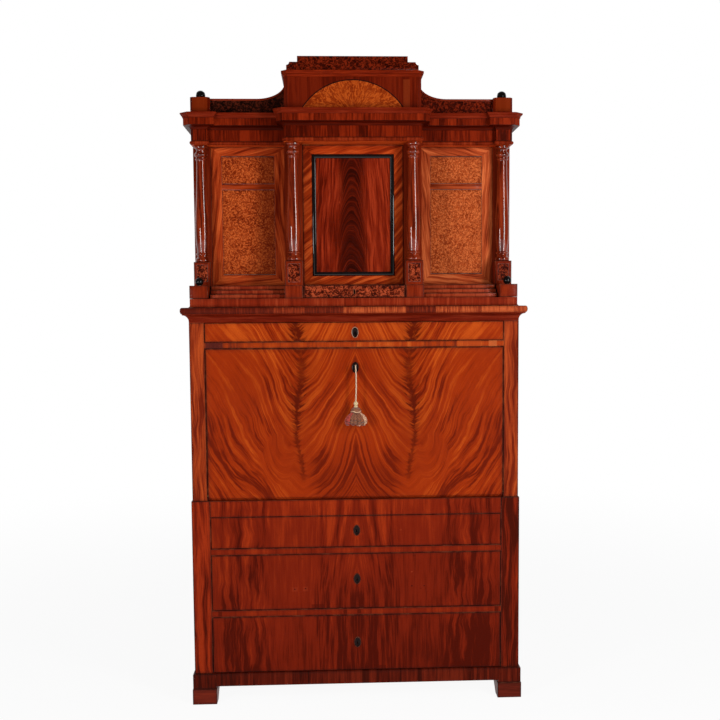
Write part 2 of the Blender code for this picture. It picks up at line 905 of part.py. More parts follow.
def build_tassel(swing):
    """Cord, bound collar with its head, and skirt, hanging in front of the fall."""
    curve = bpy.data.curves.new("tassel_cord", "CURVE")
    curve.dimensions = "3D"
    curve.bevel_depth = cord_thick / 2
    curve.bevel_resolution = 2
    curve.use_fill_caps = True
    spline = curve.splines.new("POLY")
    spline.points.add(cord_points - 1)
    for i, point in enumerate(spline.points):
        share = i / (cord_points - 1)
        across = cord_sway * math.sin(math.pi * share)
        point.co = (across, cord_y - bow_y, cord_rise - cord_length * share, 1)
    cord = bpy.data.objects.new("tassel_cord", curve)
    PARTS.objects.link(cord)
    cord.parent = swing
    paint(cord, "silk")
    foot_x = 0.0
    top = key_z + cord_rise - cord_length - seat_gap
    head_shares = [
        (0, 1), (0.32, 1), (0.42, 0.93), (0.42, 0.84), (0.30, 0.78), (0.44, 0.68), (0.44, 0.60),
        (0.34, 0.54), (0.62, 0.44), (0.90, 0.30), (1.0, 0.14), (0.96, 0), (0, 0),
    ]
    full = collar_height + head_height
    profile = [(r * head_width / 2, z * full - full) for r, z in head_shares]
    turned(
        "tassel_head", profile, (foot_x, cord_y, top), "silk", swing, small_turn_steps
    )
    skirt_shares = [
        (0, 1), (0.40, 1), (0.66, 0.90), (0.90, 0.68), (1.0, 0.42), (0.94, 0.16), (0.80, 0), (0, 0),
    ]
    profile = [(r * skirt_width / 2, z * skirt_height - skirt_height) for r, z in skirt_shares]
    skirt = turned(
        "tassel_skirt", profile, (foot_x, cord_y, top - full - seat_gap), "tuft", swing, small_turn_steps
    )
    skirt.scale = (1, skirt_depth / skirt_width, 1)


def build_nest():
    """Pigeonholes on the writing floor, with a drawer at the foot of each side."""
    half = fall_half - nest_side_room
    front = fall_inner + nest_setback
    rear = case_back - back_board - seat_gap
    low = writing_level + seat_gap
    high = fall_top_level - seat_gap
    nest = block("nest", (-half, front, low), (half, rear, high), "mahogany")
    cell_back = rear - nest_back
    middle = nest_middle_width / 2
    cells = []
    for side in (-1, 1):
        near = middle + nest_wall
        far = half - nest_wall
        drawer_low = low + nest_wall
        drawer_high = drawer_low + nest_drawer_height
        shelf_low = drawer_high + nest_wall
        shelf_high = shelf_low + nest_shelf_height
        cells.append(mirrored(side, (near, front, drawer_low), (far, cell_back, drawer_high)))
        wide = (far - near - (nest_columns - 1) * nest_wall) / nest_columns
        for i in range(nest_columns):
            start = near + i * (wide + nest_wall)
            cells.append(mirrored(side, (start, front, shelf_low), (start + wide, cell_back, shelf_high)))
        cells.append(mirrored(
            side, (near, front, shelf_high + nest_wall), (far, cell_back, high - nest_wall)
        ))
    niche_low = low + nest_wall
    niche_high = niche_low + (high - low) * niche_share
    cells.append(((-middle, front, niche_low), (middle, cell_back, niche_high)))
    cells.append(((-middle, front, niche_high + nest_wall), (middle, cell_back, high - nest_wall)))
    for i, (corner_low, corner_high) in enumerate(cells):
        corner_low = (corner_low[0], corner_low[1] - overrun, corner_low[2])
        cut(nest, block("nest_cell_" + str(i), corner_low, corner_high))
    for word, side in left_right():
        near = middle + nest_wall
        far = half - nest_wall
        build_nest_drawer(
            word, side, near, far, low + nest_wall, low + nest_wall + nest_drawer_height, front, cell_back
        )


def build_nest_drawer(word, side, near, far, low, high, front, back):
    """Small drawer in the foot of the nest, with a turned knob."""
    gap = slide_gap / 2
    face_front = front + nest_wall / 5
    body_low, body_high = mirrored(
        side, (near + gap, face_front, low + seat_gap), (far - gap, back - nest_back, high - slide_gap)
    )
    slide = axis_empty("nest_slide_" + word, (side * (near + far) / 2, face_front, low))
    item = block("nest_drawer_" + word, body_low, body_high, "mahogany", slide)
    wall = nest_wall
    inside_low, inside_high = mirrored(
        side, (near + gap + wall, face_front + wall, low + wall),
        (far - gap - wall, back - nest_back - wall, high + overrun),
    )
    cut(item, block("nest_drawer_inside_" + word, inside_low, inside_high, None, slide))
    x = side * (near + far) / 2
    z = (low + high) / 2
    knob_spot = (x, face_front - nest_knob, z)
    stem_spot = (x, face_front - nest_knob / 2, z)
    knob = rod("nest_knob_" + word, nest_knob, nest_knob, knob_spot, (0, 1, 0), None, slide)
    stem = rod("nest_stem_" + word, nest_knob / 2, 2 * nest_knob, stem_spot, (0, 1, 0), None, slide)
    join(item, join(stem, soften(knob)))


def build_deck():
    """Board under the temple, with steps between the pedestals."""
    outline = [
        (-deck_half + deck_cove, case_back), (-deck_half + deck_cove, deck_front + deck_cove),
        (deck_half - deck_cove, deck_front + deck_cove), (deck_half - deck_cove, case_back),
    ]
    top = temple_level - seat_gap
    low = deck_level + seat_gap
    profile = [
        (0, low), (deck_cove / 5, low + deck_cove), (deck_cove, low + 2 * deck_cove), (deck_cove, top),
    ]
    deck = moulding("temple_deck", outline, profile, "mahogany")
    outer_inner = temple_wing_half - outer_pedestal - seat_gap - pedestal_foot_proud
    riser = cheek_height / step_count
    for word, side in left_right():
        near = temple_half + pedestal_foot_proud + seat_gap
        for i in range(step_count):
            front = deck_front + step_first_setback + i * step_tread
            low_corner, high_corner = mirrored(
                side, (near, front, top - riser / 2),
                (outer_inner, wing_front - seat_gap, top + (i + 1) * riser),
            )
            join(deck, block("step_" + word + str(i), low_corner, high_corner))


def build_pedestals():
    """Outer pedestals with their cheek blocks, inner pedestals, and the ebony balls."""
    column_seat = column_level - seat_gap
    for word, side in left_right():
        low, high = mirrored(
            side, (temple_wing_half - outer_pedestal, outer_pedestal_front, temple_level),
            (temple_wing_half, outer_pilaster_front - seat_gap, column_seat),
        )
        pedestal = soften(block("outer_pedestal_" + word, low, high, "mahogany"))
        cheek_outer = deck_half - cheek_inset
        low, high = mirrored(
            side, (cheek_outer - cheek_width, deck_front + cheek_inset, temple_level + seat_gap),
            (cheek_outer, outer_pedestal_front + outer_pedestal / 2, temple_level + cheek_height),
        )
        join(pedestal, soften(block("cheek_" + word, low, high)))
        sink_panel(pedestal, side * outer_column_x, outer_pedestal, outer_pedestal_front,
                   temple_level + cheek_height + ball_radius, column_seat - pedestal_panel_inset)
        build_ball(word, side, cheek_outer - cheek_width / 2)
        low, high = mirrored(
            side, (temple_half - inner_pedestal, inner_pedestal_front, temple_level),
            (temple_half, inner_pilaster_front - seat_gap, column_seat),
        )
        pedestal = soften(block("inner_pedestal_" + word, low, high, "mahogany"))
        foot = pedestal_foot_proud
        low, high = mirrored(
            side, (temple_half - inner_pedestal + foot, inner_pedestal_front - foot, temple_level + seat_gap),
            (temple_half + foot, inner_pilaster_front - 2 * seat_gap, temple_level + cheek_height),
        )
        join(pedestal, block("pedestal_foot_" + word, low, high))
        sink_panel(pedestal, side * inner_column_x, inner_pedestal, inner_pedestal_front,
                   temple_level + cheek_height + pedestal_panel_inset, column_seat - pedestal_panel_inset)


def sink_panel(item, x, width, front, low, high):
    """Shallow recess for a burr panel in a pedestal's face."""
    half = width / 2 - pedestal_panel_inset
    cut(item, block(
        item.name + "_panel",
        (x - half, front - overrun, low), (x + half, front + pedestal_panel_sink, high),
    ))


def build_ball(word, side, x):
    """Ebony ball with a short neck, on a cheek block."""
    seat = temple_level + cheek_height + seat_gap
    y = deck_front + cheek_inset + cheek_width / 2
    centre = ball_radius - ball_radius / 14
    start = math.asin(ball_neck / ball_radius)
    profile = [(0, centre + ball_radius)]
    for i in range(1, 11):
        angle = (math.pi - start) * i / 10
        profile.append((ball_radius * math.sin(angle), centre + ball_radius * math.cos(angle)))
    profile += [(ball_neck, 0), (0, 0)]
    turned("ball_" + word, profile, (side * x, y, seat), "ebony", None, small_turn_steps)


def build_columns():
    """Four turned columns with a bell capital and a moulded foot."""
    capital_shares = [
        (0, 1), (0.96, 1), (1.06, 0.95), (1.06, 0.84), (0.86, 0.74), (0.66, 0.66), (0.64, 0.61),
        (0.90, 0.54), (1.06, 0.47), (1.04, 0.39), (0.86, 0.28), (0.82, 0.20), (0.86, 0.14), (0.84, 0.06),
    ]
    top = column_height - 2 * seat_gap
    shaft_low = column_foot_height
    shaft_high = top - capital_height
    profile = [
        (r * column_foot_radius, top - capital_height * (1 - z)) for r, z in capital_shares
    ]
    for i in range(7):
        share = i / 6
        radius = column_neck_radius + (column_foot_radius - column_neck_radius) * share
        radius += column_entasis * math.sin(math.pi * share)
        profile.append((radius, shaft_high + (shaft_low - shaft_high) * share))
    profile += [
        (r * column_foot_radius, z * column_foot_height) for r, z in reversed(column_base_shares)
    ]
    places = (("inner", inner_column_x, inner_column_y), ("outer", outer_column_x, outer_column_y))
    for row, x, y in places:
        for word, side in left_right():
            turned(
                "column_" + row + "_" + word, profile,
                (side * x, y, column_level + seat_gap), "dark_mahogany",
            )


def build_temple():
    """Cupboard, wings, door and the drawer under it."""
    build_cupboard_case()
    for word, side in left_right():
        build_wing(word, side)
    build_door()
    build_burr_drawer()


def build_cupboard_case():
    """Cupboard between the inner pilasters, its shelf, the ledge over its drawer and the back board."""
    top = architrave_level - seat_gap
    floor_low = temple_level + cheek_height + seat_gap
    floor_top = floor_low + cupboard_floor
    ledge_top = temple_level + cheek_height - seat_gap
    ledge_low = ledge_top - ledge_thick
    ledge_front = inner_pedestal_front + burr_drawer_setback + front_thick + reveal
    body_front = cupboard_front
    inner = temple_half - cupboard_wall
    rear = case_back - back_board
    item = block(
        "temple_case", (-temple_half, body_front, temple_level), (temple_half, case_back, top), "mahogany"
    )
    for word, side in left_right():
        low, high = mirrored(
            side, (door_side, inner_pilaster_front, temple_level + seat_gap),
            (temple_half - seat_gap, body_front + cupboard_wall, top - seat_gap),
        )
        join(item, block("inner_pilaster_" + word, low, high))
    wing_half = entablature_half - side_board - seat_gap
    join(item, block(
        "temple_back", (-wing_half, rear, temple_level + seat_gap),
        (wing_half, case_back - seat_gap, top - seat_gap),
    ))
    join(item, block(
        "cupboard_ledge", (seat_gap - door_side, ledge_front, ledge_low - overrun),
        (door_side - seat_gap, body_front + cupboard_wall, ledge_top),
    ))
    middle = (floor_top + top) / 2
    shelf = cupboard_floor / 2
    cut(
        item,
        block("cupboard_low", (-inner, body_front - overrun, floor_top), (inner, rear, middle - shelf)),
        block(
            "cupboard_high", (-inner, body_front - overrun, middle + shelf),
            (inner, rear, top - cupboard_floor),
        ),
        block(
            "drawer_tunnel", (-door_side, ledge_front - overrun, temple_level - overrun),
            (door_side, inner_pedestal_front + burr_drawer_length + drawer_back_room, ledge_low),
        ),
    )


def build_wing(word, side):
    """Wing front, outer pilaster and side board, one piece, with the burr recesses."""
    top = architrave_level - seat_gap
    near = temple_half + seat_gap
    pilaster_inner = temple_wing_half - outer_pedestal
    rear = case_back - seat_gap
    inner_side = entablature_half - side_board
    wing_back = wing_front + side_board
    outline = [
        (near, wing_front), (pilaster_inner, wing_front), (pilaster_inner, outer_pilaster_front),
        (entablature_half, outer_pilaster_front), (entablature_half, rear), (inner_side, rear),
        (inner_side, wing_back), (near, wing_back),
    ]
    wing = plate("wing_" + word, facing(side, outline), temple_level, top, "z", "mahogany")
    low_edge = temple_level + cheek_height + burr_inset_end
    high_edge = top - burr_inset_end
    bar_high = high_edge - burr_bar_drop
    spans = ((low_edge, bar_high - burr_bar_height), (bar_high, high_edge))
    for i, (low_z, high_z) in enumerate(spans):
        low, high = mirrored(
            side, (near + burr_inset_side, wing_front - overrun, low_z),
            (pilaster_inner - burr_inset_side, wing_front + burr_sink, high_z),
        )
        cut(wing, block("burr_recess_" + word + str(i), low, high))


def build_door():
    """Cupboard door with its ebonized bead, turning on two pins at its left edge."""
    low = temple_level + cheek_height + door_sill
    high = architrave_level - reveal - seat_gap
    half = door_side - reveal
    pivot = (-half + door_pivot_in, door_axis_y)
    hinge = axis_empty("door_axis", (*pivot, low))
    door = block("door", (-half, door_front, low), (half, door_back, high), "mahogany", hinge)
    soften(door)
    bead_half = half - bead_inset + bead_width / 2
    inset = bead_inset - bead_width / 2
    bead = block(
        "door_bead", (-bead_half, door_front - bead_proud, low + inset),
        (bead_half, door_front + bead_proud, high - inset), None, hinge,
    )
    inner = inset + bead_width
    cut(bead, block(
        "door_bead_inside", (-half + inner, door_front - 2 * bead_proud, low + inner),
        (half - inner, door_front + 2 * bead_proud, high - inner), None, hinge,
    ))
    soften(bead, bead_width / 4, 2)
    join(door, bead)
    for word, edge, way in (("bottom", low, 1), ("top", high, -1)):
        build_door_pivot(word, edge, way, pivot, door, hinge)


def build_door_pivot(word, edge, way, pivot, door, hinge):
    """Brass plate past the door's end, with a pin into the door."""
    x, y = pivot
    near = edge - way * seat_gap
    far = near - way * door_plate
    plate_item = block(
        "door_pivot_" + word, (x - door_pivot_in + reveal, y - door_pin, min(near, far)),
        (x - door_pivot_in + door_plate_length, cupboard_front - seat_gap, max(near, far)), "brass",
    )
    pin_length = door_pin_length + door_plate
    middle = (far + edge + way * door_pin_length) / 2
    join(plate_item, rod("door_pin_" + word, door_pin, pin_length, (x, y, middle), (0, 0, 1)))
    hole_length = 2 * (door_pin_length + seat_gap)
    cut(door, rod(
        "door_bore_" + word, door_pin + pivot_pin_gap, hole_length, (x, y, edge), (0, 0, 1), None, hinge
    ))


def build_burr_drawer():
    """Shallow drawer under the cupboard, faced with burr."""
    front = inner_pedestal_front + burr_drawer_setback
    half = door_side
    high = temple_level + cheek_height
    drawer("burr_drawer", half, temple_level, high, front, burr_drawer_length, None, "burr")


def build_entablature():
    """Architrave, frieze and cornice that break forward over the columns and the door."""
    block_inner = entablature_half - block_width
    centre = temple_half - edge_soft
    outline = [
        (-entablature_half, case_back), (-entablature_half, frieze_block_front),
        (-block_inner, frieze_block_front), (-block_inner, frieze_wing_front),
        (-centre, frieze_wing_front), (-centre, frieze_centre_front),
        (centre, frieze_centre_front), (centre, frieze_wing_front),
        (block_inner, frieze_wing_front), (block_inner, frieze_block_front),
        (entablature_half, frieze_block_front), (entablature_half, case_back),
    ]
    outline = canted(outline, (1, 5, 6, 10), corner_cant)
    round_shares = [(0.0, 0.06), (0.7, 0.2), (1.0, 0.5), (0.7, 0.8), (0.0, 0.94)]
    profile = [(0, architrave_level)]
    profile += [(r * architrave_out, architrave_level + z * architrave_height) for r, z in round_shares]
    cove_low = corona_level - frieze_cove
    cove_shares = [(0.0, 0.0), (0.08, 0.4), (0.3, 0.75), (0.62, 1.0)]
    profile += [(r * corona_out, cove_low + z * frieze_cove) for r, z in cove_shares]
    profile += [(corona_out, corona_level + seat_gap), (corona_out, crown_level)]
    step_out = crown_out - corona_out
    crown_shares = [(0.25, 0.04), (0.35, 0.25), (0.62, 0.45), (0.92, 0.62), (1.0, 0.78), (1.0, 1.0)]
    profile += [(corona_out + r * step_out, crown_level + z * crown_height) for r, z in crown_shares]
    item = moulding("entablature", outline, profile, "mahogany")
    wall = entablature_wall
    cut(item, block(
        "entablature_hollow",
        (-entablature_half + wall, frieze_wing_front + wall, architrave_level - overrun),
        (entablature_half - wall, case_back - wall, crown_level - crown_height),
    ))


def build_attic():
    """Attic block with its lunette and crown, and the stepped burr cap."""
    front = frieze_centre_front + attic_setback
    back = front + attic_depth
    outline = [(-attic_half, back), (-attic_half, front), (attic_half, front), (attic_half, back)]
    outline = canted(outline, (1, 2), attic_cant)
    low = attic_level + seat_gap
    high = attic_crown_level
    crown_shares = [(0.0, 0.0), (0.2, 0.06), (0.35, 0.3), (0.75, 0.52), (1.0, 0.66), (1.0, 1.0)]
    profile = [(0, low)]
    profile += [(r * attic_crown_out, high + z * attic_crown_height) for r, z in crown_shares]
    attic = moulding("attic", outline, profile, "mahogany")
    radius = (lunette_half ** 2 + lunette_rise ** 2) / (2 * lunette_rise)
    centre = (0, low + lunette_rise - radius)
    spread = math.asin(lunette_half / radius)
    fan = arc(centre, radius, math.pi / 2 - spread, math.pi / 2 + spread, 17)
    join(attic, plate("lunette", fan, front - lunette_proud, front + lunette_proud, "y"))
    cap_front = front + cap_setback - attic_crown_out
    base = cap_level + seat_gap
    step = base + cap_lower_height
    top = step + cap_upper_height
    notch = cap_notch
    right = [(cap_lower_half, base), (cap_lower_half, step - notch)]
    right += arc((cap_lower_half, step), notch, -math.pi / 2, -math.pi, 5)
    right += [(cap_upper_half, step), (cap_upper_half, top)]
    left = [(-x, z) for x, z in reversed(right)]
    plate("attic_cap", right + left, cap_front, back - cap_setback, "y", "burr")


def build_crestings():
    """Corner posts with ebony finials, and the swept boards between them and the attic."""
    low = attic_level + seat_gap
    post_front = frieze_block_front
    for word, side in left_right():
        outer = entablature_half
        inner = outer - post_size
        outline = facing(side, [
            (inner, post_front), (outer, post_front),
            (outer, post_front + post_size), (inner, post_front + post_size),
        ])
        outline = canted(outline, (0, 1, 2, 3), post_cant)
        profile = [
            (post_foot_out, low), (post_foot_out, low + post_foot_height / 3),
            (0, low + post_foot_height), (0, low + post_height),
        ]
        post = moulding("post_" + word, outline, profile, "mahogany")
        finial_shares = [
            (0.0, 1.0), (0.42, 0.95), (0.72, 0.82), (0.92, 0.60), (0.94, 0.38), (0.80, 0.26),
            (0.98, 0.14), (1.0, 0.0), (1.0, -0.1), (0.0, -0.1),
        ]
        shape = [(r * finial_skirt, z * finial_height) for r, z in finial_shares]
        spot = (side * (inner + post_size / 2), post_front + post_size / 2, low + post_height)
        join(post, turned("finial_" + word, shape, spot, None, None, small_turn_steps))
        build_crest_board(word, side, low, inner - post_foot_out - seat_gap)


def build_crest_board(word, side, low, far):
    """Swept board on the wing's cornice, highest at the attic."""
    near = attic_half + seat_gap
    flat_z = low + crest_height
    peak_z = flat_z + crest_rise
    flat_end = far - crest_flat
    points = [(near, low), (far, low), (far, flat_z), (flat_end, flat_z)]
    span = flat_end - near
    for i in range(1, 8):
        share = i / 8
        angle = share * math.pi / 2
        points.append((flat_end - span * math.sin(angle), flat_z + crest_rise * (1 - math.cos(angle))))
    points.append((near, peak_z))
    front = frieze_wing_front + edge_soft
    plate("cresting_" + word, facing(side, points), front, front + crest_thick, "y", "dark_mahogany")


build_feet()
build_plinth()
build_base()
build_base_drawers()
build_case()
build_case_top()
build_fall()
build_nest()
build_deck()
build_pedestals()
build_columns()
build_temple()
build_entablature()
build_attic()
build_crestings()
bpy.context.view_layer.update()
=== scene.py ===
"""Fall-front secretaire in flame mahogany and burr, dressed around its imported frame."""
import math
import random

import bmesh
import bpy
from mathutils import Matrix, Vector


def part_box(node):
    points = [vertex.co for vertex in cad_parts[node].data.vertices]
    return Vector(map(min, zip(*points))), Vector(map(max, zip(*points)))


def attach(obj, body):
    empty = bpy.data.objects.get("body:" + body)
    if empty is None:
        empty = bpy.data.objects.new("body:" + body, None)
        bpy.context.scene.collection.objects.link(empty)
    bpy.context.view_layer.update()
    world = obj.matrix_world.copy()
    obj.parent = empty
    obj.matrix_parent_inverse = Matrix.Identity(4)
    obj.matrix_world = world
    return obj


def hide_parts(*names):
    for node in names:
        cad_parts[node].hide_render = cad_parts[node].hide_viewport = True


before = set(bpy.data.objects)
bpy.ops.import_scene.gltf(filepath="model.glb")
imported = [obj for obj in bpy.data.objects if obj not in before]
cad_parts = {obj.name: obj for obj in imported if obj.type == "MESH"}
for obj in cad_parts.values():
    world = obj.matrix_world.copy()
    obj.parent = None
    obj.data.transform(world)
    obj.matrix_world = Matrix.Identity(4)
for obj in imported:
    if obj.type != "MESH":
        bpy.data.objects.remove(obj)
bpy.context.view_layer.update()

# Camera and lamps

CAMERA_SPOT = (-0.0884, -3.7808, 1.3557)
CAMERA_YAW = -0.0456
CAMERA_PITCH = 0.0852
CAMERA_ROLL = -0.0067
CAMERA_LENS = 52.65
CAMERA_SHIFT = (-0.0237, 0.0470)
LAMPS = (  # name, place, aim, width, height and power
    ("box_left", (-1.62, -2.15, 1.24), (0, -0.2, 1.34), 0.40, 1.10, 28),
    ("box_right", (1.60, -2.20, 1.56), (0, -0.2, 1.46), 0.50, 1.80, 50),
)
AMBIENT = 0.22  # strength of the world's light
DIM_ROOM = 0.05  # strength of the world behind the camera, as the polish mirrors it
PAPER = (0.90, 0.90, 0.90)


def add_object(name, data):
    """Object in the scene, at the origin."""
    item = bpy.data.objects.new(name, data)
    bpy.context.scene.collection.objects.link(item)
    return item


def set_camera():
    """Camera where the photograph was taken from."""
    data = bpy.data.cameras.new("camera")
    data.sensor_width = 36
    data.lens = CAMERA_LENS
    data.shift_x, data.shift_y = CAMERA_SHIFT
    camera = add_object("camera", data)
    turn = Matrix.Rotation(CAMERA_YAW, 4, "Z") @ Matrix.Rotation(math.pi / 2 - CAMERA_PITCH, 4, "X")
    turn = turn @ Matrix.Rotation(CAMERA_ROLL, 4, "Z")
    camera.matrix_world = Matrix.Translation(CAMERA_SPOT) @ turn
    bpy.context.scene.camera = camera


def add_lamp(name, spot, target, width, height, watts):
    """Soft upright lamp that faces a point."""
    data = bpy.data.lights.new(name, "AREA")
    data.shape = "RECTANGLE"
    data.size = width
    data.size_y = height
    data.energy = watts
    lamp = add_object(name, data)
    lamp.location = spot
    aim = Vector(target) - Vector(spot)
    lamp.rotation_euler = aim.to_track_quat("-Z", "Y").to_euler()


# Node building


def new_node(near, kind, **settings):
    """Shader node in the tree of another node or socket, with its settings."""
    node = near.id_data.nodes.new("ShaderNode" + kind)
    for name, item in settings.items():
        setattr(node, name, item)
    return node


def feed(slot, item):
    """Link a value to a socket, or set the socket to a constant."""
    if isinstance(item, Value):
        item = item.socket
    if isinstance(item, bpy.types.NodeSocket):
        slot.id_data.links.new(item, slot)
    elif slot.type == "RGBA":
        slot.default_value = (*item, 1.0)
    else:
        slot.default_value = item


def fill(node, **items):
    """Feed a node's inputs by name; underscores stand for spaces."""
    for name, item in items.items():
        feed(node.inputs[name.replace("_", " ")], item)
    return node


class Value:
    """A number that changes over a surface, with the usual arithmetic as nodes."""

    def __init__(self, socket):
        self.socket = socket

    def op(self, kind, *others):
        node = new_node(self.socket, "Math", operation=kind)
        for slot, item in zip(node.inputs, (self, *others)):
            feed(slot, item)
        return Value(node.outputs[0])

    def __add__(self, other):
        return self.op("ADD", other)

    __radd__ = __add__

    def __sub__(self, other):
        return self.op("SUBTRACT", other)

    def __mul__(self, other):
        return self.op("MULTIPLY", other)

    def __truediv__(self, other):
        return self.op("DIVIDE", other)

    def __rsub__(self, other):
        return (self * -1) + other

    def __rtruediv__(self, other):
        return self.power(-1.0) * other

    def abs(self):
        return self.op("ABSOLUTE")

    def least(self, other):
        return self.op("MINIMUM", other)

    def most(self, other):
        return self.op("MAXIMUM", other)

    def power(self, other):
        return self.op("POWER", other)

    def above(self, edge):
        return self.op("GREATER_THAN", edge)

    def sine(self):
        return self.op("SINE")

    def ramp(self, low, high, to_low=0.0, to_high=1.0):
        """Smooth step from one level to another."""
        node = new_node(self.socket, "MapRange", interpolation_type="SMOOTHSTEP")
        fill(node, Value=self, From_Min=low, From_Max=high, To_Min=to_low, To_Max=to_high)
        return Value(node.outputs["Result"])


def axes_of(vector):
    """The three parts of a vector as values."""
    node = new_node(vector, "SeparateXYZ")
    feed(node.inputs[0], vector)
    return [Value(socket) for socket in node.outputs]


def spot_of(shader):
    """Object coordinates as X, Y and Z values, with the vector itself."""
    vector = new_node(shader, "TexCoord").outputs["Object"]
    return axes_of(vector), vector


def facing_of(shader):
    """The surface's own direction as three values, in the piece's frame."""
    return axes_of(new_node(shader, "TexCoord").outputs["Normal"])


def vector_of(*place):
    """Vector of three values, some of which may be constants."""
    known = next(item.socket for item in place if isinstance(item, Value))
    node = new_node(known, "CombineXYZ")
    for slot, item in zip(node.inputs, place):
        feed(slot, item)
    return node.outputs[0]


def vector_math(kind, one, other):
    """Sum, difference or the like of two vectors."""
    node = new_node(one, "VectorMath", operation=kind)
    feed(node.inputs[0], one)
    feed(node.inputs[1], other)
    return node.outputs[0]


def noise_node(place, scale, detail=2.0, roughness=0.5, distortion=0.0):
    """Noise texture at a place, which is a vector or its three parts."""
    vector = vector_of(*place) if isinstance(place, tuple) else place
    return fill(
        new_node(vector, "TexNoise"), Vector=vector, Scale=scale, Detail=detail, Roughness=roughness,
        Distortion=distortion,
    )


def noise_of(place, *settings):
    """Smooth random value from 0 to 1."""
    return Value(noise_node(place, *settings).outputs["Fac"])


def drift_of(place, *settings):
    """Smooth random value round 0."""
    return noise_of(place, *settings) - 0.5


def blend_of(share, one, other):
    """Mix of two colours."""
    node = new_node(share.socket, "Mix", data_type="RGBA")
    feed(node.inputs["Factor"], share)
    feed(node.inputs[6], one)
    feed(node.inputs[7], other)
    return node.outputs[2]


def ways(kind, *labels):
    """Sockets of one kind for a node group."""
    return [(label, kind) for label in labels]


def new_group(name, inputs, outputs):
    """Node group with named sockets; gives its inputs and its last node."""
    tree = bpy.data.node_groups.new(name, "ShaderNodeTree")
    for side, pairs in (("INPUT", inputs), ("OUTPUT", outputs)):
        for label, kind in pairs:
            tree.interface.new_socket(label, in_out=side, socket_type="NodeSocket" + kind)
    entry = tree.nodes.new("NodeGroupInput")
    leave = tree.nodes.new("NodeGroupOutput")
    at = {
        label: (Value(entry.outputs[label]) if kind == "Float" else entry.outputs[label])
        for label, kind in inputs
    }
    return at, leave


def use_group(near, group, tones=(), **values):
    """Place a node group, with its inputs set or linked, and its dark, middle and light tone."""
    node = new_node(near, "Group", node_tree=group)
    return fill(node, **values, **dict(zip(("Dark", "Middle", "Light"), tones)))


FIBRE = (0.0011, 0.035, 0.01)  # sizes across the grain, along it and in depth
PORES = (0.0008, 0.009, 0.01)


def make_veneer_group():
    """Wood figure from a place across and along the grain: colour and height."""
    at, leave = new_group(
        "veneer",
        ways("Float", "Across", "Along", "Depth", "Width", "Balance", "Contrast")
        + ways("Color", "Dark", "Middle", "Light"),
        ways("Color", "Color") + ways("Float", "Height"),
    )
    across, along, depth, width = (at[label] for label in ("Across", "Along", "Depth", "Width"))
    broad = (across / width, along / (width * 16), depth / width)
    narrow = (across / (width * 0.22), along / (width * 7), depth / width)
    fibre, pores = (tuple(item / size for item, size in zip((across, along, depth), sizes))
                    for sizes in (FIBRE, PORES))
    figure = noise_of(broad, 1.0, 3.0, 0.55, 0.25).ramp(0.30, 0.70)
    ribbon = noise_of(narrow, 1.0).ramp(0.28, 0.72)
    fine = noise_of(fibre, 1.0, 2.0, 0.6)
    pore = noise_of(pores, 1.0, 1.0).ramp(0.60, 0.72)
    drift = noise_of((across, along, depth), 5.0)
    level = figure * 0.52 + ribbon * 0.26 + fine * 0.14 + drift * 0.30 - 0.12
    level = (level - 0.5) * at["Contrast"] + at["Balance"]
    low = blend_of(level.ramp(0.0, 0.5), at["Dark"], at["Middle"])
    full = blend_of(level.ramp(0.45, 1.0), low, at["Light"])
    fill(leave, Color=blend_of(pore * 0.35, full, at["Dark"]), Height=fine * 0.5 - pore * 0.5)
    return leave.id_data


def make_burr_group():
    """Burr veneer: curled flecks and eyes on a mottled ground."""
    at, leave = new_group(
        "burr",
        ways("Vector", "Position") + ways("Float", "Fleck", "Darkness")
        + ways("Color", "Dark", "Middle", "Light"),
        ways("Color", "Color") + ways("Float", "Height"),
    )
    place = at["Position"]
    fleck = at["Fleck"]
    push = fill(new_node(place, "VectorMath", operation="SCALE"), Scale=fleck * 5.0)
    feed(push.inputs[0], noise_node(place, 0.45 / fleck).outputs["Color"])
    moved = vector_math("ADD", place, push.outputs[0])
    curl = noise_of(moved, 0.62 / fleck, 2.0, 0.55, 0.8)
    lines = (curl - 0.5).abs().ramp(0.006, 0.062)
    broken = noise_of(place, 0.50 / fleck).ramp(0.40, 0.56)
    broad = noise_of(place, 0.10 / fleck, 3.0, 0.6)
    eyes = fill(new_node(place, "TexVoronoi"), Vector=moved, Scale=0.36 / fleck)
    eye = Value(eyes.outputs["Distance"]).ramp(0.08, 0.26)
    tone = curl.ramp(0.38, 0.62) * 0.78 + broad.ramp(0.3, 0.7) * 0.34 - at["Darkness"] + 0.06
    low = blend_of(tone.ramp(0.0, 0.45), at["Dark"], at["Middle"])
    full = blend_of(tone.ramp(0.4, 0.95), low, at["Light"])
    marks = 1.0 - ((1.0 - lines) * broken).most((1.0 - eye) * 0.6)
    fill(leave, Color=blend_of((1.0 - marks) * 0.95, full, at["Dark"]), Height=marks)
    return leave.id_data


def make_edge_group():
    """Mask along the edges of a box: 1 on an edge, broken up by wear, and a darker margin of dirt and painted
    shade.
    """
    at, leave = new_group(
        "edge_wear", ways("Vector", "Position", "Low", "High") + ways("Float", "Width"),
        ways("Float", "Wear", "Grime"),
    )
    place, width = at["Position"], at["Width"]
    gaps = (vector_math("SUBTRACT", place, at["Low"]), vector_math("SUBTRACT", at["High"], place))
    x, y, z = (gap.abs() for gap in axes_of(vector_math("MINIMUM", *gaps)))
    middle = x.least(y).most(x.most(y).least(z))
    patch = noise_of(place, 38.0, 4.0, 0.65).ramp(0.44, 0.66)
    wear = (1.0 - middle.ramp(width * 0.3, width * 0.8)) * patch
    line = 1.0 - middle.ramp(width * 0.6, width * 1.5)
    broad = 1.0 - middle.ramp(width, width * 6.0)
    # The dark margin stands for dirt and for painted shade in the gaps, darkest at the edge and fading inward
    fill(leave, Wear=wear, Grime=(line * 0.75 + broad * 0.25) * (1.0 - patch * 0.20))
    return leave.id_data


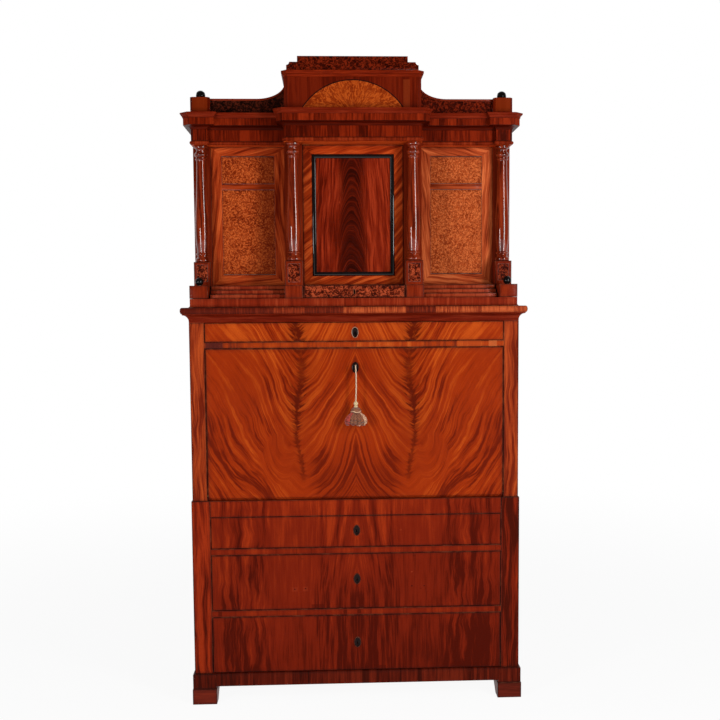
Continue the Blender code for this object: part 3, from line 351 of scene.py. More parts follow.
def make_band_group():
    """Cross-banded strip: random tone for each piece of veneer, and its joints."""
    at, leave = new_group(
        "cross_band", ways("Float", "Along", "Length", "Seed"), ways("Float", "Tone", "Joint")
    )
    place = at["Along"] / at["Length"] + at["Seed"]
    cells, seams = (
        fill(new_node(place.socket, "TexVoronoi", voronoi_dimensions="1D", feature=feature),
             Scale=1.0, Randomness=0.85, W=place)
        for feature in ("F1", "DISTANCE_TO_EDGE")
    )
    split = fill(new_node(place.socket, "SeparateColor"), Color=cells.outputs["Color"])
    edge = Value(seams.outputs["Distance"]).ramp(0.0, 0.035)
    fill(leave, Tone=split.outputs[0], Joint=1.0 - edge)
    return leave.id_data


VENEER = make_veneer_group()
BURR = make_burr_group()
EDGE = make_edge_group()
BAND = make_band_group()

# Wood colours: dark, middle and light

FLAME = ((0.130, 0.0090, 0.0014), (0.290, 0.0250, 0.0024), (0.500, 0.0740, 0.0070))
BASE_FLAME = ((0.070, 0.0040, 0.0006), (0.180, 0.0122, 0.0024), (0.330, 0.0300, 0.0046))
STILE = ((0.131, 0.0101, 0.0023), (0.270, 0.0315, 0.0063), (0.405, 0.0594, 0.0108))
BASE_STILE = ((0.055, 0.0040, 0.0008), (0.165, 0.0112, 0.0024), (0.300, 0.0260, 0.0048))
RAIL = ((0.137, 0.0160, 0.0057), (0.348, 0.0374, 0.0042), (0.559, 0.1017, 0.0143))
CROSS = ((0.060, 0.0038, 0.0005), (0.138, 0.0090, 0.0013), (0.245, 0.0200, 0.0034))
FRIEZE = ((0.048, 0.0030, 0.0004), (0.115, 0.0070, 0.0010), (0.205, 0.0150, 0.0022))
ATTIC = ((0.072, 0.0046, 0.0006), (0.112, 0.0072, 0.0013), (0.150, 0.0110, 0.0021))
POST = ((0.120, 0.0108, 0.0011), (0.168, 0.0162, 0.0020), (0.198, 0.0222, 0.0036))
CROWN = ((0.110, 0.0074, 0.0014), (0.152, 0.0108, 0.0022), (0.215, 0.0216, 0.0059))
DECK = ((0.113, 0.0079, 0.0016), (0.217, 0.0174, 0.0041), (0.365, 0.0496, 0.0148))
TEMPLE = ((0.090, 0.0070, 0.0012), (0.170, 0.0135, 0.0026), (0.260, 0.0280, 0.0060))
# Painted light and shade: the wings share one wood, given darker on the left and lighter on the right
WING_SHADED_LEFT = ((0.120, 0.0082, 0.0013), (0.330, 0.0370, 0.0065), (0.560, 0.0929, 0.0187))
WING_LIT_RIGHT = ((0.137, 0.0126, 0.0028), (0.376, 0.0569, 0.0139), (0.638, 0.1428, 0.0400))
PLUME = ((0.024, 0.0018, 0.0004), (0.056, 0.0033, 0.0007), (0.132, 0.0090, 0.0019))
COLUMN = ((0.070, 0.0055, 0.0012), (0.179, 0.0161, 0.0034), (0.265, 0.0302, 0.0062))
SIDE = ((0.090, 0.0080, 0.0018), (0.190, 0.0190, 0.0040), (0.300, 0.0400, 0.0090))
INSIDE = ((0.160, 0.0280, 0.0080), (0.300, 0.0700, 0.0200), (0.430, 0.1250, 0.0420))
PINE = ((0.300, 0.1450, 0.0520), (0.470, 0.2700, 0.1150), (0.580, 0.3700, 0.1850))
PLINTH = ((0.030, 0.0030, 0.0011), (0.080, 0.0064, 0.0020), (0.145, 0.0135, 0.0042))
FOOT = ((0.090, 0.0105, 0.0048), (0.138, 0.0158, 0.0080), (0.185, 0.0210, 0.0088))
COVE = ((0.073, 0.0036, 0.0005), (0.129, 0.0084, 0.0017), (0.185, 0.0189, 0.0056))
TOP_EDGE = ((0.085, 0.0078, 0.0032), (0.215, 0.0230, 0.0070), (0.470, 0.0860, 0.0230))
BURR_GOLD = ((0.120, 0.0110, 0.0022), (0.340, 0.0500, 0.0090), (0.560, 0.1250, 0.0310))
# BURR_GOLD made darker: painted shade on the left wing's panels
BURR_GOLD_SHADED = ((0.115, 0.0091, 0.0014), (0.326, 0.0413, 0.0059), (0.538, 0.1032, 0.0202))
BURR_FAN = ((0.162, 0.0140, 0.0015), (0.314, 0.0393, 0.0037), (0.456, 0.0752, 0.0089))
BURR_RED = ((0.030, 0.0030, 0.0011), (0.165, 0.0172, 0.0053), (0.400, 0.0638, 0.0211))
BURR_DARK = ((0.012, 0.0010, 0.0002), (0.064, 0.0046, 0.0011), (0.189, 0.0157, 0.0036))
BURR_BLACK = ((0.004, 0.0011, 0.0005), (0.020, 0.0038, 0.0019), (0.080, 0.0120, 0.0052))
DOOR_FRAME = ((0.160, 0.0115, 0.0018), (0.340, 0.0330, 0.0042), (0.560, 0.0860, 0.0150))
DOOR_STRIPE = ((0.070, 0.0038, 0.0006), (0.170, 0.0112, 0.0024), (0.310, 0.0300, 0.0075))
# Painted light: lighter than the wood, so that the shaded underside of the architrave reads as lit
UNDERSIDE_LIT = ((0.270, 0.0210, 0.0032), (0.560, 0.0600, 0.0075), (0.800, 0.1400, 0.0250))

# Other colours

FEATHER = (0.075, 0.0062, 0.0012)
WORN = (0.420, 0.1500, 0.0700)
BLACK = (0.0080, 0.0060, 0.0055)
HOLE = (0.020, 0.0030, 0.0016)
SCAR = (0.330, 0.0400, 0.0130)
EBONY = ((0.0040, 0.0032, 0.0032), (0.014, 0.009, 0.008))
SCRATCH = (0.05, 0.030, 0.022)
LINE = ((0.075, 0.028, 0.024), (0.25, 0.130, 0.110))
HORN = ((0.0040, 0.0020, 0.0016), (0.014, 0.0050, 0.0040))
BROWN_HORN = ((0.040, 0.0090, 0.0050), (0.130, 0.0300, 0.0150))
PALE_HORN = ((0.260, 0.1100, 0.0600), (0.560, 0.3300, 0.2200))
BRASS = ((0.62, 0.42, 0.16), (0.26, 0.15, 0.05))
STEEL = ((0.10, 0.085, 0.07), (0.030, 0.022, 0.018))
CORD_SILK = ((0.330, 0.190, 0.110), (0.800, 0.620, 0.450))
TUFT_RED = ((0.16, 0.012, 0.008), (0.56, 0.070, 0.045))
TUFT_BROWN = ((0.075, 0.016, 0.006), (0.36, 0.125, 0.055))
TUFT_CREAM = ((0.34, 0.150, 0.080), (0.80, 0.48, 0.30))
COLLAR_SILK = ((0.42, 0.27, 0.10), (0.86, 0.70, 0.42))
HEAD_SILK = ((0.100, 0.028, 0.012), (0.34, 0.130, 0.060))
PIPING_SILK = ((0.40, 0.200, 0.100), (0.84, 0.56, 0.36))

# Materials

CROTCH = 0.184  # from the middle of the fall to the crotch of its figure on each side
FRONT_DEPTH = 0.022  # thickness of a drawer's front
GLOSS_DRIFT = 0.16  # how far the roughness of the polish wanders
SKIN = 0.6  # a direction with more of an axis than this faces along that axis


def new_material(name):
    """Material and its shader."""
    material = bpy.data.materials.new(name)
    material.use_nodes = True
    return material, material.node_tree.nodes["Principled BSDF"]


def add_bump(shader, height, distance, strength=1.0):
    """Fine relief under a shader."""
    node = fill(new_node(shader, "Bump"), Strength=strength, Distance=distance, Height=height)
    feed(shader.inputs["Normal"], node.outputs[0])


def polish(shader, color, height, roughness, coat, bump=0.0004, specular=0.022, gloss=0.10):
    """French polish over a colour: soft gloss with faint open grain under it."""
    uneven = noise_of(spot_of(shader)[1], 9.0, 3.0, 0.6) * GLOSS_DRIFT
    fill(shader, Base_Color=color, Specular_IOR_Level=specular, Coat_Weight=coat, Coat_Roughness=gloss,
         Roughness=uneven + (roughness - GLOSS_DRIFT / 2))
    add_bump(shader, height, bump, 0.6)


def worn(color, vector, box, width=0.0020, share=0.26, dirt_and_shade=0.72):
    """Pale rubbed edges, and darker margins of dirt and painted shade, on a board of a given box."""
    low, high = box
    node = use_group(vector, EDGE, Position=vector, Low=tuple(low), High=tuple(high), Width=width)
    # Darker margin: dirt and painted shade of the gaps between parts
    darkened = blend_of(Value(node.outputs["Grime"]) * dirt_and_shade, color, BLACK)
    return blend_of(Value(node.outputs["Wear"]) * share, darkened, WORN)


def veneer_color(across, along, depth, width, tones, balance=0.5, contrast=1.0):
    """Veneer group's colour and height for a set of wood tones."""
    node = use_group(
        across.socket, VENEER, tones, Across=across, Along=along, Depth=depth, Width=width,
        Balance=balance, Contrast=contrast,
    )
    return node.outputs["Color"], Value(node.outputs["Height"])


def softwood_color(x, y, z):
    """Pine of a drawer's box."""
    return veneer_color(z + x * 0.3, y, x, 0.012, PINE, 0.5, 0.8)[0]


def flame_flow(x, z):
    """Lines of the flame figure, which fall to a crotch on each side, and the way to that crotch."""
    half = x.abs()
    crotch = ((z - 0.86) * 16.5).sine() * 0.011 + drift_of((z, 3.7, 0.0), 11.0) * 0.020
    side = half - (crotch + (CROTCH + 0.005))
    swirl = drift_of((half, 1.3, z * 0.6), 4.2)
    curl = drift_of((half, 8.1, z * 0.8), 15.0)
    outer = side.most(0.0)
    inner = (side * -1).most(0.0)
    steep = outer.ramp(0.01, 0.17, 0.0, 0.13) * z.ramp(0.78, 1.0, 0.35, 1.0)
    climb = outer.power(1.25) * 1.55 + steep + inner.power(1.40) * 2.9
    wide = (half - 0.262) / 0.055
    tall = (z - 0.835) / 0.085
    knot = (1.0 - wide * wide - tall * tall).most(0.0)
    ripple = drift_of((half, 2.9, z), 48.0, 2.0, 0.6)
    flow = z - climb + swirl * 0.120 + curl * 0.026 + ripple * 0.007 + knot * 0.060
    return flow, side


def flame_color(x, z, tones):
    """Book-matched flame veneer with two feathered crotches, bold low down and calm in the corners."""
    flow, side = flame_flow(x, z)
    half = x.abs()
    along = half * 0.9 + z * 0.3
    wisps = (1.0 - (side - 0.065).abs().ramp(0.03, 0.11)) * z.ramp(0.86, 0.98)
    quarter = side.ramp(0.04, 0.15) * (1.0 - z.ramp(0.84, 1.06))
    middle = (1.0 - half.ramp(0.10, 0.17)) * (1.0 - z.ramp(0.84, 0.96))
    heart = (1.0 - half.ramp(0.14, 0.19)) * z.ramp(0.88, 1.0) * 0.55
    bold = (wisps * 0.85 + quarter + middle + heart + 0.16).least(1.0)
    patchy = noise_of((half, 3.3, z), 9.0).ramp(0.34, 0.62, 0.45, 1.0)
    wide_streak = drift_of((flow / 0.075, along / 0.22, 4.1), 1.0, 1.0)
    streak = noise_of((flow / 0.024, along / 0.16, 0.7), 1.0, 3.0, 0.55, 0.5) + wide_streak * 0.45
    dark = (1.0 - streak.ramp(0.37, 0.56)) * bold * patchy
    glow = noise_of((flow / 0.045, along / 0.20, 5.7), 1.0).ramp(0.42, 0.76)
    shimmer = drift_of((flow / 0.060, along / 0.016, 9.1), 1.0)
    cloud = drift_of((half, 6.6, z), 6.0, 3.0, 0.55)
    level = 0.54 + z.ramp(0.72, 1.25) * 0.08 + z.ramp(1.21, 1.24) * 0.10 - dark * 0.54 + glow * 0.20
    low_middle = (1.0 - half.ramp(0.10, 0.18)) * (1.0 - z.ramp(0.80, 0.92))
    level = level + shimmer * 0.16 + cloud * 0.36 - half.ramp(0.26, 0.38) * 0.16 - low_middle * 0.22
    color, height = veneer_color(flow, along * 1.7, 0.3, 0.015, tones, level, bold * 0.42 + 0.42)
    feather = noise_of((flow, 2.2, 0.0), 80.0, 3.0, 0.65)
    reach = feather.ramp(0.36, 0.70, 0.004, 0.066) * z.ramp(0.88, 1.08, 0.42, 1.0)
    plume = 1.0 - (side.abs() / reach).ramp(0.30, 1.0)
    jag = noise_of((half, 4.4, z), 62.0, 3.0, 0.6).ramp(0.32, 0.58)
    fade = z.ramp(0.745, 0.80) * (cloud * 1.6 + 1.0)
    color = blend_of(plume * (jag * 0.45 + 0.5) * fade, color, FEATHER)
    halo = 1.0 - side.abs().ramp(0.01, 0.09)
    color = blend_of(halo * fade * 0.24, color, tones[0])
    return with_seam(half, 0.35, color, tones), height


def upright_color(x, z, tones):
    """Book-matched veneer of the base chest: upright stripes that part from the middle."""
    half = x.abs()
    warp = drift_of((half, 6.1, z * 0.5), 5.0)
    wave = drift_of((half, 9.4, z), 13.0)
    wild = half.ramp(0.27, 0.34) * (1.0 - half.ramp(0.44, 0.50))
    heart = 1.0 - half.ramp(0.11, 0.17)
    part = (1.0 - z.ramp(0.34, 0.72)) * heart * 0.036
    across = half - part + warp * 0.042 + wave * wild * 0.034
    bold = (heart * 0.75 + wild + 0.12).least(1.0)
    dark = noise_of((across / 0.024, z / 0.30, 2.7), 1.0, 3.0, 0.55, 0.5)
    dark = (1.0 - dark.ramp(0.34, 0.58)) * bold
    cloud = drift_of((x, 6.6, z), 5.0, 3.0, 0.55)
    # Painted shade: the level falls towards the bottom and towards the right
    level = 0.58 + z.ramp(0.10, 0.70, -0.24, 0.08) - x.ramp(-0.1, 0.5) * (z.ramp(0.3, 0.6) * -0.05 + 0.21)
    level = level - dark * 0.34 + cloud * 0.30
    color, height = veneer_color(across, z * 1.5, 0.7, 0.016, tones, level, bold * 0.55 + 0.50)
    return with_seam(half, 0.30, color, tones), height


def with_seam(half, share, color, tones):
    """Fine dark joint where the two halves of a book-matched veneer meet."""
    return blend_of((1.0 - half.ramp(0.0003, 0.0012)) * share, color, tones[0])


def beyond(place, middle, reach):
    """1 outside a stretch and 0 inside it, with a soft edge."""
    return (place - middle).abs().ramp(reach - 0.0008, reach + 0.0006)


def with_patches(color, x, z, patches):
    """Let-in repairs, stains and painted shade: each is a middle, a half width, a half height, a colour and a
    share.
    """
    for spot_x, spot_z, wide, tall, tone, share in patches:
        outside = beyond(x, spot_x, wide).most(beyond(z, spot_z, tall))
        color = blend_of((1.0 - outside) * share, color, tone)
    return color


def front_material(name, tones, box, figure, depth, margin, patches=()):
    """Figured veneer on the front face, plain wood on the edges, softwood on a drawer's box."""
    material, shader = new_material(name)
    (x, y, z), vector = spot_of(shader)
    color, height = figure(x, z, tones)
    mottle = noise_of((x, 5.0, z), 3.2, 3.0, 0.55).ramp(0.35, 0.68)
    color = blend_of(mottle * 0.16, color, tones[0])
    color = with_patches(color, x, z, patches)
    low, high = box
    # Darker margins here are painted shade in the gap round the front, with dirt; the pale edges are wear
    color = worn(color, vector, (low, (high[0], FAR_BACK, high[2])), margin, 0.20, 0.70)
    back = veneer_color(y, x, z, 0.03, SIDE)[0]
    front = (facing_of(shader)[1] * -1).above(0.5)
    color = blend_of(front, back, color)
    if depth:
        color = blend_of(y.above(low[1] + depth), color, softwood_color(x, y, z))
    polish(shader, color, height, 0.30, 0.025)
    return material


def grain_material(name, tones, along, width, box=None, balance=0.5, contrast=1.0, roughness=0.32,
                   coat=0.02, wave=0.0, specular=0.022, gloss=0.10, calm=0.0, shelves=False):
    """Solid wood or straight veneer, with its grain along one axis. Calm takes contrast from the
    faces at its ends in x, and shelves turns the grain of level faces along x."""
    material, shader = new_material(name)
    (x, y, z), vector = spot_of(shader)
    bend = drift_of(vector, 5.5)
    run, across, depth = {"x": (x, z, y), "y": (y, z, x), "z": (z, x, y)}[along]
    if shelves:
        level = facing_of(shader)[2].abs().above(SKIN)
        run, across = run + (x - run) * level, across + (y - across) * level
        depth = depth * (1.0 - level)
    if calm:
        contrast = contrast - facing_of(shader)[0].abs().above(SKIN) * calm
    color, height = veneer_color(
        across + bend * wave + depth * 0.6, run, depth, width, tones, balance, contrast
    )
    if box:
        color = worn(color, vector, box)
    polish(shader, color, height, roughness, coat, 0.0003, specular, gloss)
    return material


def leaning_material(name, tones, lean, box, width, balance, contrast):
    """Veneer with its grain at an angle to the upright, in a frame member."""
    material, shader = new_material(name)
    (x, y, z), vector = spot_of(shader)
    cosine, sine = math.cos(lean), math.sin(lean)
    across = x * cosine + z * sine + drift_of(vector, 7.0) * 0.02
    along = z * cosine - x * sine
    color, height = veneer_color(across, along, y, width, tones, balance, contrast)
    polish(shader, worn(color, vector, box), height, 0.30, 0.025)
    return material


def band_material(name, tones, box, length, seed, width=0.006, balance=0.52, spread=0.62,
                  contrast=1.25, patches=(), slope=0.0):
    """Cross-banded veneer: short pieces side by side with upright grain."""
    material, shader = new_material(name)
    (x, y, z), vector = spot_of(shader)
    sideways = facing_of(shader)[0].abs().above(SKIN)
    run = x + (y - x) * sideways
    node = use_group(vector, BAND, Along=run, Length=length, Seed=seed)
    tone = Value(node.outputs["Tone"])
    joint = Value(node.outputs["Joint"])
    level = (tone - 0.5) * spread + x * slope + balance
    color, height = veneer_color(run + seed * 7.0, z + tone * 3.0, tone, width, tones, level, contrast)
    color = blend_of(joint * 0.45, color, tones[0])
    if box:
        color = worn(color, vector, box)
    polish(shader, with_patches(color, x, z, patches), height, 0.32, 0.02)
    return material


def burr_material(name, tones, fleck, darkness, box=None, fan=None, shade=None, share=0.35, patches=(),
                  depth=0.0):
    """Burr veneer, or a burr fan that spreads from a point. Painted shade may darken it from one place in x
    to another, and a drawer's front has softwood behind its depth."""
    material, shader = new_material(name)
    (x, y, z), vector = spot_of(shader)
    source = vector
    if fan:
        across = x - fan[0]
        up = z - fan[1]
        angle = across.op("ARCTAN2", up)
        reach = (across * across + up * up).power(0.5)
        source = vector_of(angle * 0.105, y, reach * 0.42)
    node = use_group(vector, BURR, tones, Position=source, Fleck=fleck, Darkness=darkness)
    color = node.outputs["Color"]
    if shade:
        near, far, strength = shade
        color = blend_of(x.ramp(near, far) * strength, color, tones[0])
    color = with_patches(color, x, z, patches)
    if box:
        color = worn(color, vector, box, share=share)
    if depth:
        color = blend_of(y.above(box[0][1] + depth), color, softwood_color(x, y, z))
    polish(shader, color, Value(node.outputs["Height"]), 0.30, 0.03, 0.0002)
    return material


def plume_material(name, low_z, high_z):
    """Panel with a dark plume of nested arches up its middle and straight stripes beside it."""
    material, shader = new_material(name)
    x, _, z = spot_of(shader)[0]
    bend = drift_of((z, 2.0, 0.0), 4.0)
    sway = drift_of((x, 3.0, z * 0.5), 9.0)
    ripple = drift_of((x, 5.0, z), 26.0, 3.0, 0.6)
    across = x + bend * 0.024 + ripple * 0.006 + 0.004
    inside = across.abs() / z.ramp(low_z, high_z, 0.058, 0.042)
    arch = z + inside.power(2.3) * 0.150 + sway * 0.085 + ripple * 0.024
    core = veneer_color(arch, x.abs() * 0.8, 0.4, 0.015, PLUME, 0.50, 2.0)[0]
    gather = z.ramp(low_z, high_z + 0.05, 1.0, 1.32)
    stripe_place = across.abs() * gather + x.ramp(-0.05, 0.05) * 0.6 + sway * 0.022
    warm = x.ramp(0.040, 0.062) * 0.14 + 0.48
    stripes, height = veneer_color(stripe_place, z * 0.9, 0.9, 0.0085, DOOR_STRIPE, warm, 1.45)
    edge = inside + drift_of((arch, 0.5, 0.0), 45.0, 3.0, 0.6) * 0.75
    color = blend_of(1.0 - edge.ramp(0.55, 1.15), stripes, core)
    centre = 1.0 - across.abs().ramp(0.004, 0.035)
    polish(shader, blend_of(centre * 0.30, color, PLUME[0]), height, 0.26, 0.04)
    return material


def ebony_material(name, coat=0.30):
    """Ebonized wood under black polish."""
    material, shader = new_material(name)
    (x, y, z), vector = spot_of(shader)
    cloud = noise_of(vector, 60.0, 3.0)
    scratch = noise_of((x * 9.0, y * 9.0, z), 90.0).ramp(0.62, 0.8)
    color = blend_of(cloud.ramp(0.3, 0.8) * 0.4, *EBONY)
    color = blend_of(scratch * 0.25, color, SCRATCH)
    polish(shader, color, cloud, 0.30, coat, 0.0001, 0.02, 0.05)
    return material


def line_material(name):
    """Fine inlaid line, greyed by old polish."""
    material, shader = new_material(name)
    patch = noise_of(spot_of(shader)[1], 120.0, 3.0, 0.6).ramp(0.3, 0.7)
    polish(shader, blend_of(patch, *LINE), patch, 0.35, 0.06, 0.0001)
    return material


def horn_material(name, tones):
    """Polished horn with darker veins."""
    material, shader = new_material(name)
    x, y, z = spot_of(shader)[0]
    vein = noise_of((x * 2.5, y, z), 130.0, 4.0, 0.6).ramp(0.36, 0.66)
    polish(shader, blend_of(vein, *tones), vein, 0.35, 0.12, 0.0001, 0.05, 0.10)
    return material


def metal_material(name, tones, roughness):
    """Old metal with tarnish and rubbed places."""
    material, shader = new_material(name)
    vector = spot_of(shader)[1]
    stain = noise_of(vector, 70.0, 4.0, 0.65).ramp(0.38, 0.66)
    fill(shader, Base_Color=blend_of(stain, *tones), Roughness=stain * 0.25 + roughness, Metallic=1.0)
    add_bump(shader, noise_of(vector, 420.0, 3.0), 0.0002, 0.35)
    return material


def silk_finish(shader, color, height, roughness, sheen, relief):
    """Soft sheen of silk threads over a colour."""
    fill(shader, Base_Color=color, Roughness=roughness, Sheen_Weight=sheen, Specular_IOR_Level=0.2)
    add_bump(shader, height, relief)


def yarn_material(name, tones, turns=3):
    """Yarn whose strands run along a tube's V and wind round its U."""
    material, shader = new_material(name)
    around, along = axes_of(new_node(shader, "UVMap", uv_map="yarn").outputs[0])[:2]
    strand = ((around * turns + along / 0.16) * (2 * math.pi)).sine() * 0.5 + 0.5
    level = strand * 0.7 + noise_of((around * 60.0, along * 14.0, 0.0), 1.0, 3.0) * 0.3
    silk_finish(shader, blend_of(level.ramp(0.1, 0.9), *tones), level, 0.75, 0.4, 0.0005)
    return material


def head_material(name, tones):
    """Silk wound slantwise round the tassel's upright."""
    material, shader = new_material(name)
    (x, y, z), vector = spot_of(shader)
    angle = (y - CORD_Y).op("ARCTAN2", x)
    strand = (angle * 14.0 + z * 3600.0).sine() * 0.5 + 0.5
    level = strand * 0.6 + noise_of(vector, 700.0, 3.0, 0.6) * 0.4
    silk_finish(shader, blend_of(level.ramp(0.15, 0.80), *tones), level, 0.70, 0.3, 0.0004)
    return material


# Piece building

SIDES = (("left", -1), ("right", 1))
WELD = 0.00002  # vertices closer than this become one
SHARP = math.radians(35)  # a prism's edges that turn more than this are eased


def only(items, kind):
    """Those of a mixed list that are of one kind."""
    return [item for item in items if isinstance(item, kind)]


def sweep(start, end, count):
    """Equally spaced numbers from one to another."""
    return [start + (end - start) * i / (count - 1) for i in range(count)]


def finish_piece(name, bm, materials, replaces="", smooth=35, body="carcass"):
    """Make an object of a bmesh, riding on its body."""
    bmesh.ops.recalc_face_normals(bm, faces=bm.faces)
    mesh = bpy.data.meshes.new(name)
    bm.to_mesh(mesh)
    bm.free()
    for material in materials:
        mesh.materials.append(material)
    piece = add_object(name, mesh)
    mesh.shade_smooth()
    mesh.set_sharp_from_angle(angle=math.radians(smooth))
    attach(piece, body)
    if replaces:
        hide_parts(replaces)
    return piece


def paint(bm, choose):
    """Give each face the material that its middle asks for."""
    for face in bm.faces:
        face.material_index = int(choose(face.calc_center_median()))


def ease_edges(bm, edges, ease, material):
    """Round some edges a little."""
    made = bmesh.ops.bevel(
        bm, geom=list(edges), offset=ease, segments=2, affect="EDGES", profile=0.5, material=-1,
        clamp_overlap=True,
    )
    for face in made["faces"]:
        face.material_index = material


def add_box(bm, low, high, ease=0.0, material=0):
    """Box between two opposite corners, with eased edges."""
    verts = bmesh.ops.create_cube(bm, size=1)["verts"]
    for vert in verts:
        vert.co = [max(a, b) if c > 0 else min(a, b) for a, b, c in zip(low, high, vert.co)]
    for face in {face for vert in verts for face in vert.link_faces}:
        face.material_index = material
    if ease:
        ease_edges(bm, {edge for vert in verts for edge in vert.link_edges}, ease, material)


def add_prism(bm, outline, low, high, material=0, ease=0.0, upright=False):
    """Flat outline of two coordinates, pushed from front to back or, if upright, from foot to head."""
    def place(across, along, level):
        return (across, along, level) if upright else (across, level, along)

    verts = [bm.verts.new(place(*point, low)) for point in outline]
    face = bm.faces.new(verts)
    grown = bmesh.ops.extrude_face_region(bm, geom=[face, *face.edges])["geom"]
    moved = only(grown, bmesh.types.BMVert)
    bmesh.ops.translate(bm, verts=moved, vec=place(0, 0, high - low))
    verts += moved
    faces = {face for vert in verts for face in vert.link_faces}
    bmesh.ops.recalc_face_normals(bm, faces=list(faces))
    for face in faces:
        face.material_index = material
    if ease:
        edges = {edge for vert in verts for edge in vert.link_edges}
        ease_edges(bm, (edge for edge in edges if edge.calc_face_angle(0) > SHARP), ease, material)


def add_turning(bm, profile, spot, steps):
    """Profile of radius and height, spun round an upright axis in an empty bmesh."""
    x, y = spot
    verts = [bm.verts.new((x + radius, y, height)) for radius, height in profile]
    edges = [bm.edges.new(pair) for pair in zip(verts, verts[1:])]
    spin_round(bm, verts + edges, (x, y, 0), steps)


def spin_round(bm, geom, centre, steps):
    """Full turn round an upright axis, closed without doubles."""
    bmesh.ops.spin(
        bm, geom=geom, cent=centre, axis=(0, 0, 1), angle=math.tau, steps=steps, use_merge=True
    )
    bmesh.ops.remove_doubles(bm, verts=bm.verts, dist=WELD)


def curve_through(moves, level=0.0, scale=1.0):
    """Profile from moves: each goes to a radius and a height, bulging out or, if negative, in.
    The heights are counted from a level, and the radii can be scaled."""
    points = []
    for radius, height, *bulge in moves:
        goal = (radius * scale, level + height)
        if not bulge:
            points.append(goal)
            continue
        last = points[-1]
        run = Vector((goal[0] - last[0], goal[1] - last[1]))
        side = Vector((-run.y, run.x)).normalized()
        for share in sweep(0, 1, 8)[1:]:
            spot = Vector(last) + run * share + side * bulge[0] * math.sin(math.pi * share)
            points.append(tuple(spot))
    return points


def hollow(out, height, reach, rise, count, turn=math.pi / 2):
    """Quarter of an oval that starts upright and ends level, or more of it."""
    return [(out + reach * (1 - math.cos(angle)), height + rise * math.sin(angle))
            for angle in sweep(0, turn, count)]


def arc(centre, radius, start, end, count):
    """Points of an arc, from one angle to another."""
    return [(centre[0] + radius * math.cos(angle), centre[1] + radius * math.sin(angle))
            for angle in sweep(start, end, count)]


def outward(start, end):
    """Normal of an edge of an outline that runs anticlockwise."""
    return Vector((end[1] - start[1], start[0] - end[0])).normalized()


def numbered_verts(bm, places):
    """Vertices that keep the number of their place, and the layer that holds it."""
    tag = bm.verts.layers.int.get("corner") or bm.verts.layers.int.new("corner")
    verts = [bm.verts.new(place) for place in places]
    for i, vert in enumerate(verts):
        vert[tag] = i
    return verts, tag


def add_moulding(bm, outline, profile):
    """Anticlockwise plan carried through (projection, height) pairs, with mitred corners.
    A side that faces back stays in its plane."""
    shifts = []
    for i, point in enumerate(outline):
        before = outward(outline[i - 1], point)
        after = outward(point, outline[(i + 1) % len(outline)])
        first, second = (0.0 if normal.y > 0.9 else 1.0 for normal in (before, after))
        cross = before.x * after.y - before.y * after.x
        shifts.append(Vector((
            (first * after.y - second * before.y) / cross,
            (second * before.x - first * after.x) / cross,
        )))
    verts, tag = numbered_verts(bm, [(x, y, 0) for x, y in outline])
    face = bm.faces.new(verts)
    for i, (out, height) in enumerate(profile):
        if i > 0:
            grown = bmesh.ops.extrude_face_region(bm, geom=[face, *face.edges])["geom"]
            face = only(grown, bmesh.types.BMFace)[0]
        for vert in face.verts:
            (x, y), shift = outline[vert[tag]], shifts[vert[tag]]
            vert.co = (x + shift.x * out, y + shift.y * out, height)


def grow_ring(bm, edges):
    """Extrude a closed ring of edges: the new ring's vertices and edges, and the faces between."""
    grown = bmesh.ops.extrude_edge_only(bm, edges=edges)["geom"]
    verts = only(grown, bmesh.types.BMVert)
    fresh = set(verts)
    edges = [edge for edge in only(grown, bmesh.types.BMEdge) if fresh.issuperset(edge.verts)]
    return verts, edges, only(grown, bmesh.types.BMFace)


def canted(outline, corners, cut):
    """Outline with some of its corners cut off at an angle."""
    result = []
    for i, point in enumerate(outline):
        here = Vector(point)
        if i not in corners:
            result.append(tuple(here))
            continue
        for other in (outline[i - 1], outline[(i + 1) % len(outline)]):
            result.append(tuple(here + (Vector(other) - here).normalized() * cut))
    return result


def plan_of(half, front, back):
    """Anticlockwise plan of a block that is as wide to the left as to the right."""
    return [(-half, back), (-half, front), (half, front), (half, back)]


def mirrored(right):
    """Outline whose left half repeats its right half, which is given from the middle outward."""
    return [(-x, other) for x, other in reversed(right)] + right


def span(side, near, far):
    """Ends of a stretch in x, on the left or on the right."""
    return sorted((side * near, side * far))


def box_of(node):
    """Lowest and highest corner of a CAD node, as tuples."""
    low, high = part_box(node)
    return tuple(low), tuple(high)


def axis_of(node):
    """Place in x and y of a CAD node's upright axis, and its foot and head in z."""
    low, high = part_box(node)
    return ((low.x + high.x) / 2, (low.y + high.y) / 2), low.z, high.z


def dress(node, material):
    """Give a CAD node one material."""
    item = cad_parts[node]
    item = item if isinstance(item, bpy.types.Object) else bpy.data.objects[node]
    item.data.materials.clear()
    item.data.materials.append(material)


def dress_wood(node, tones, along, width, balance, contrast, **more):
    """Straight-grained wood with worn edges on a CAD node."""
    dress(node, grain_material(
        node + "_wood", tones, along, width, box_of(node), balance, contrast, **more
    ))


# The object's own sizes, read from the frame where it holds them

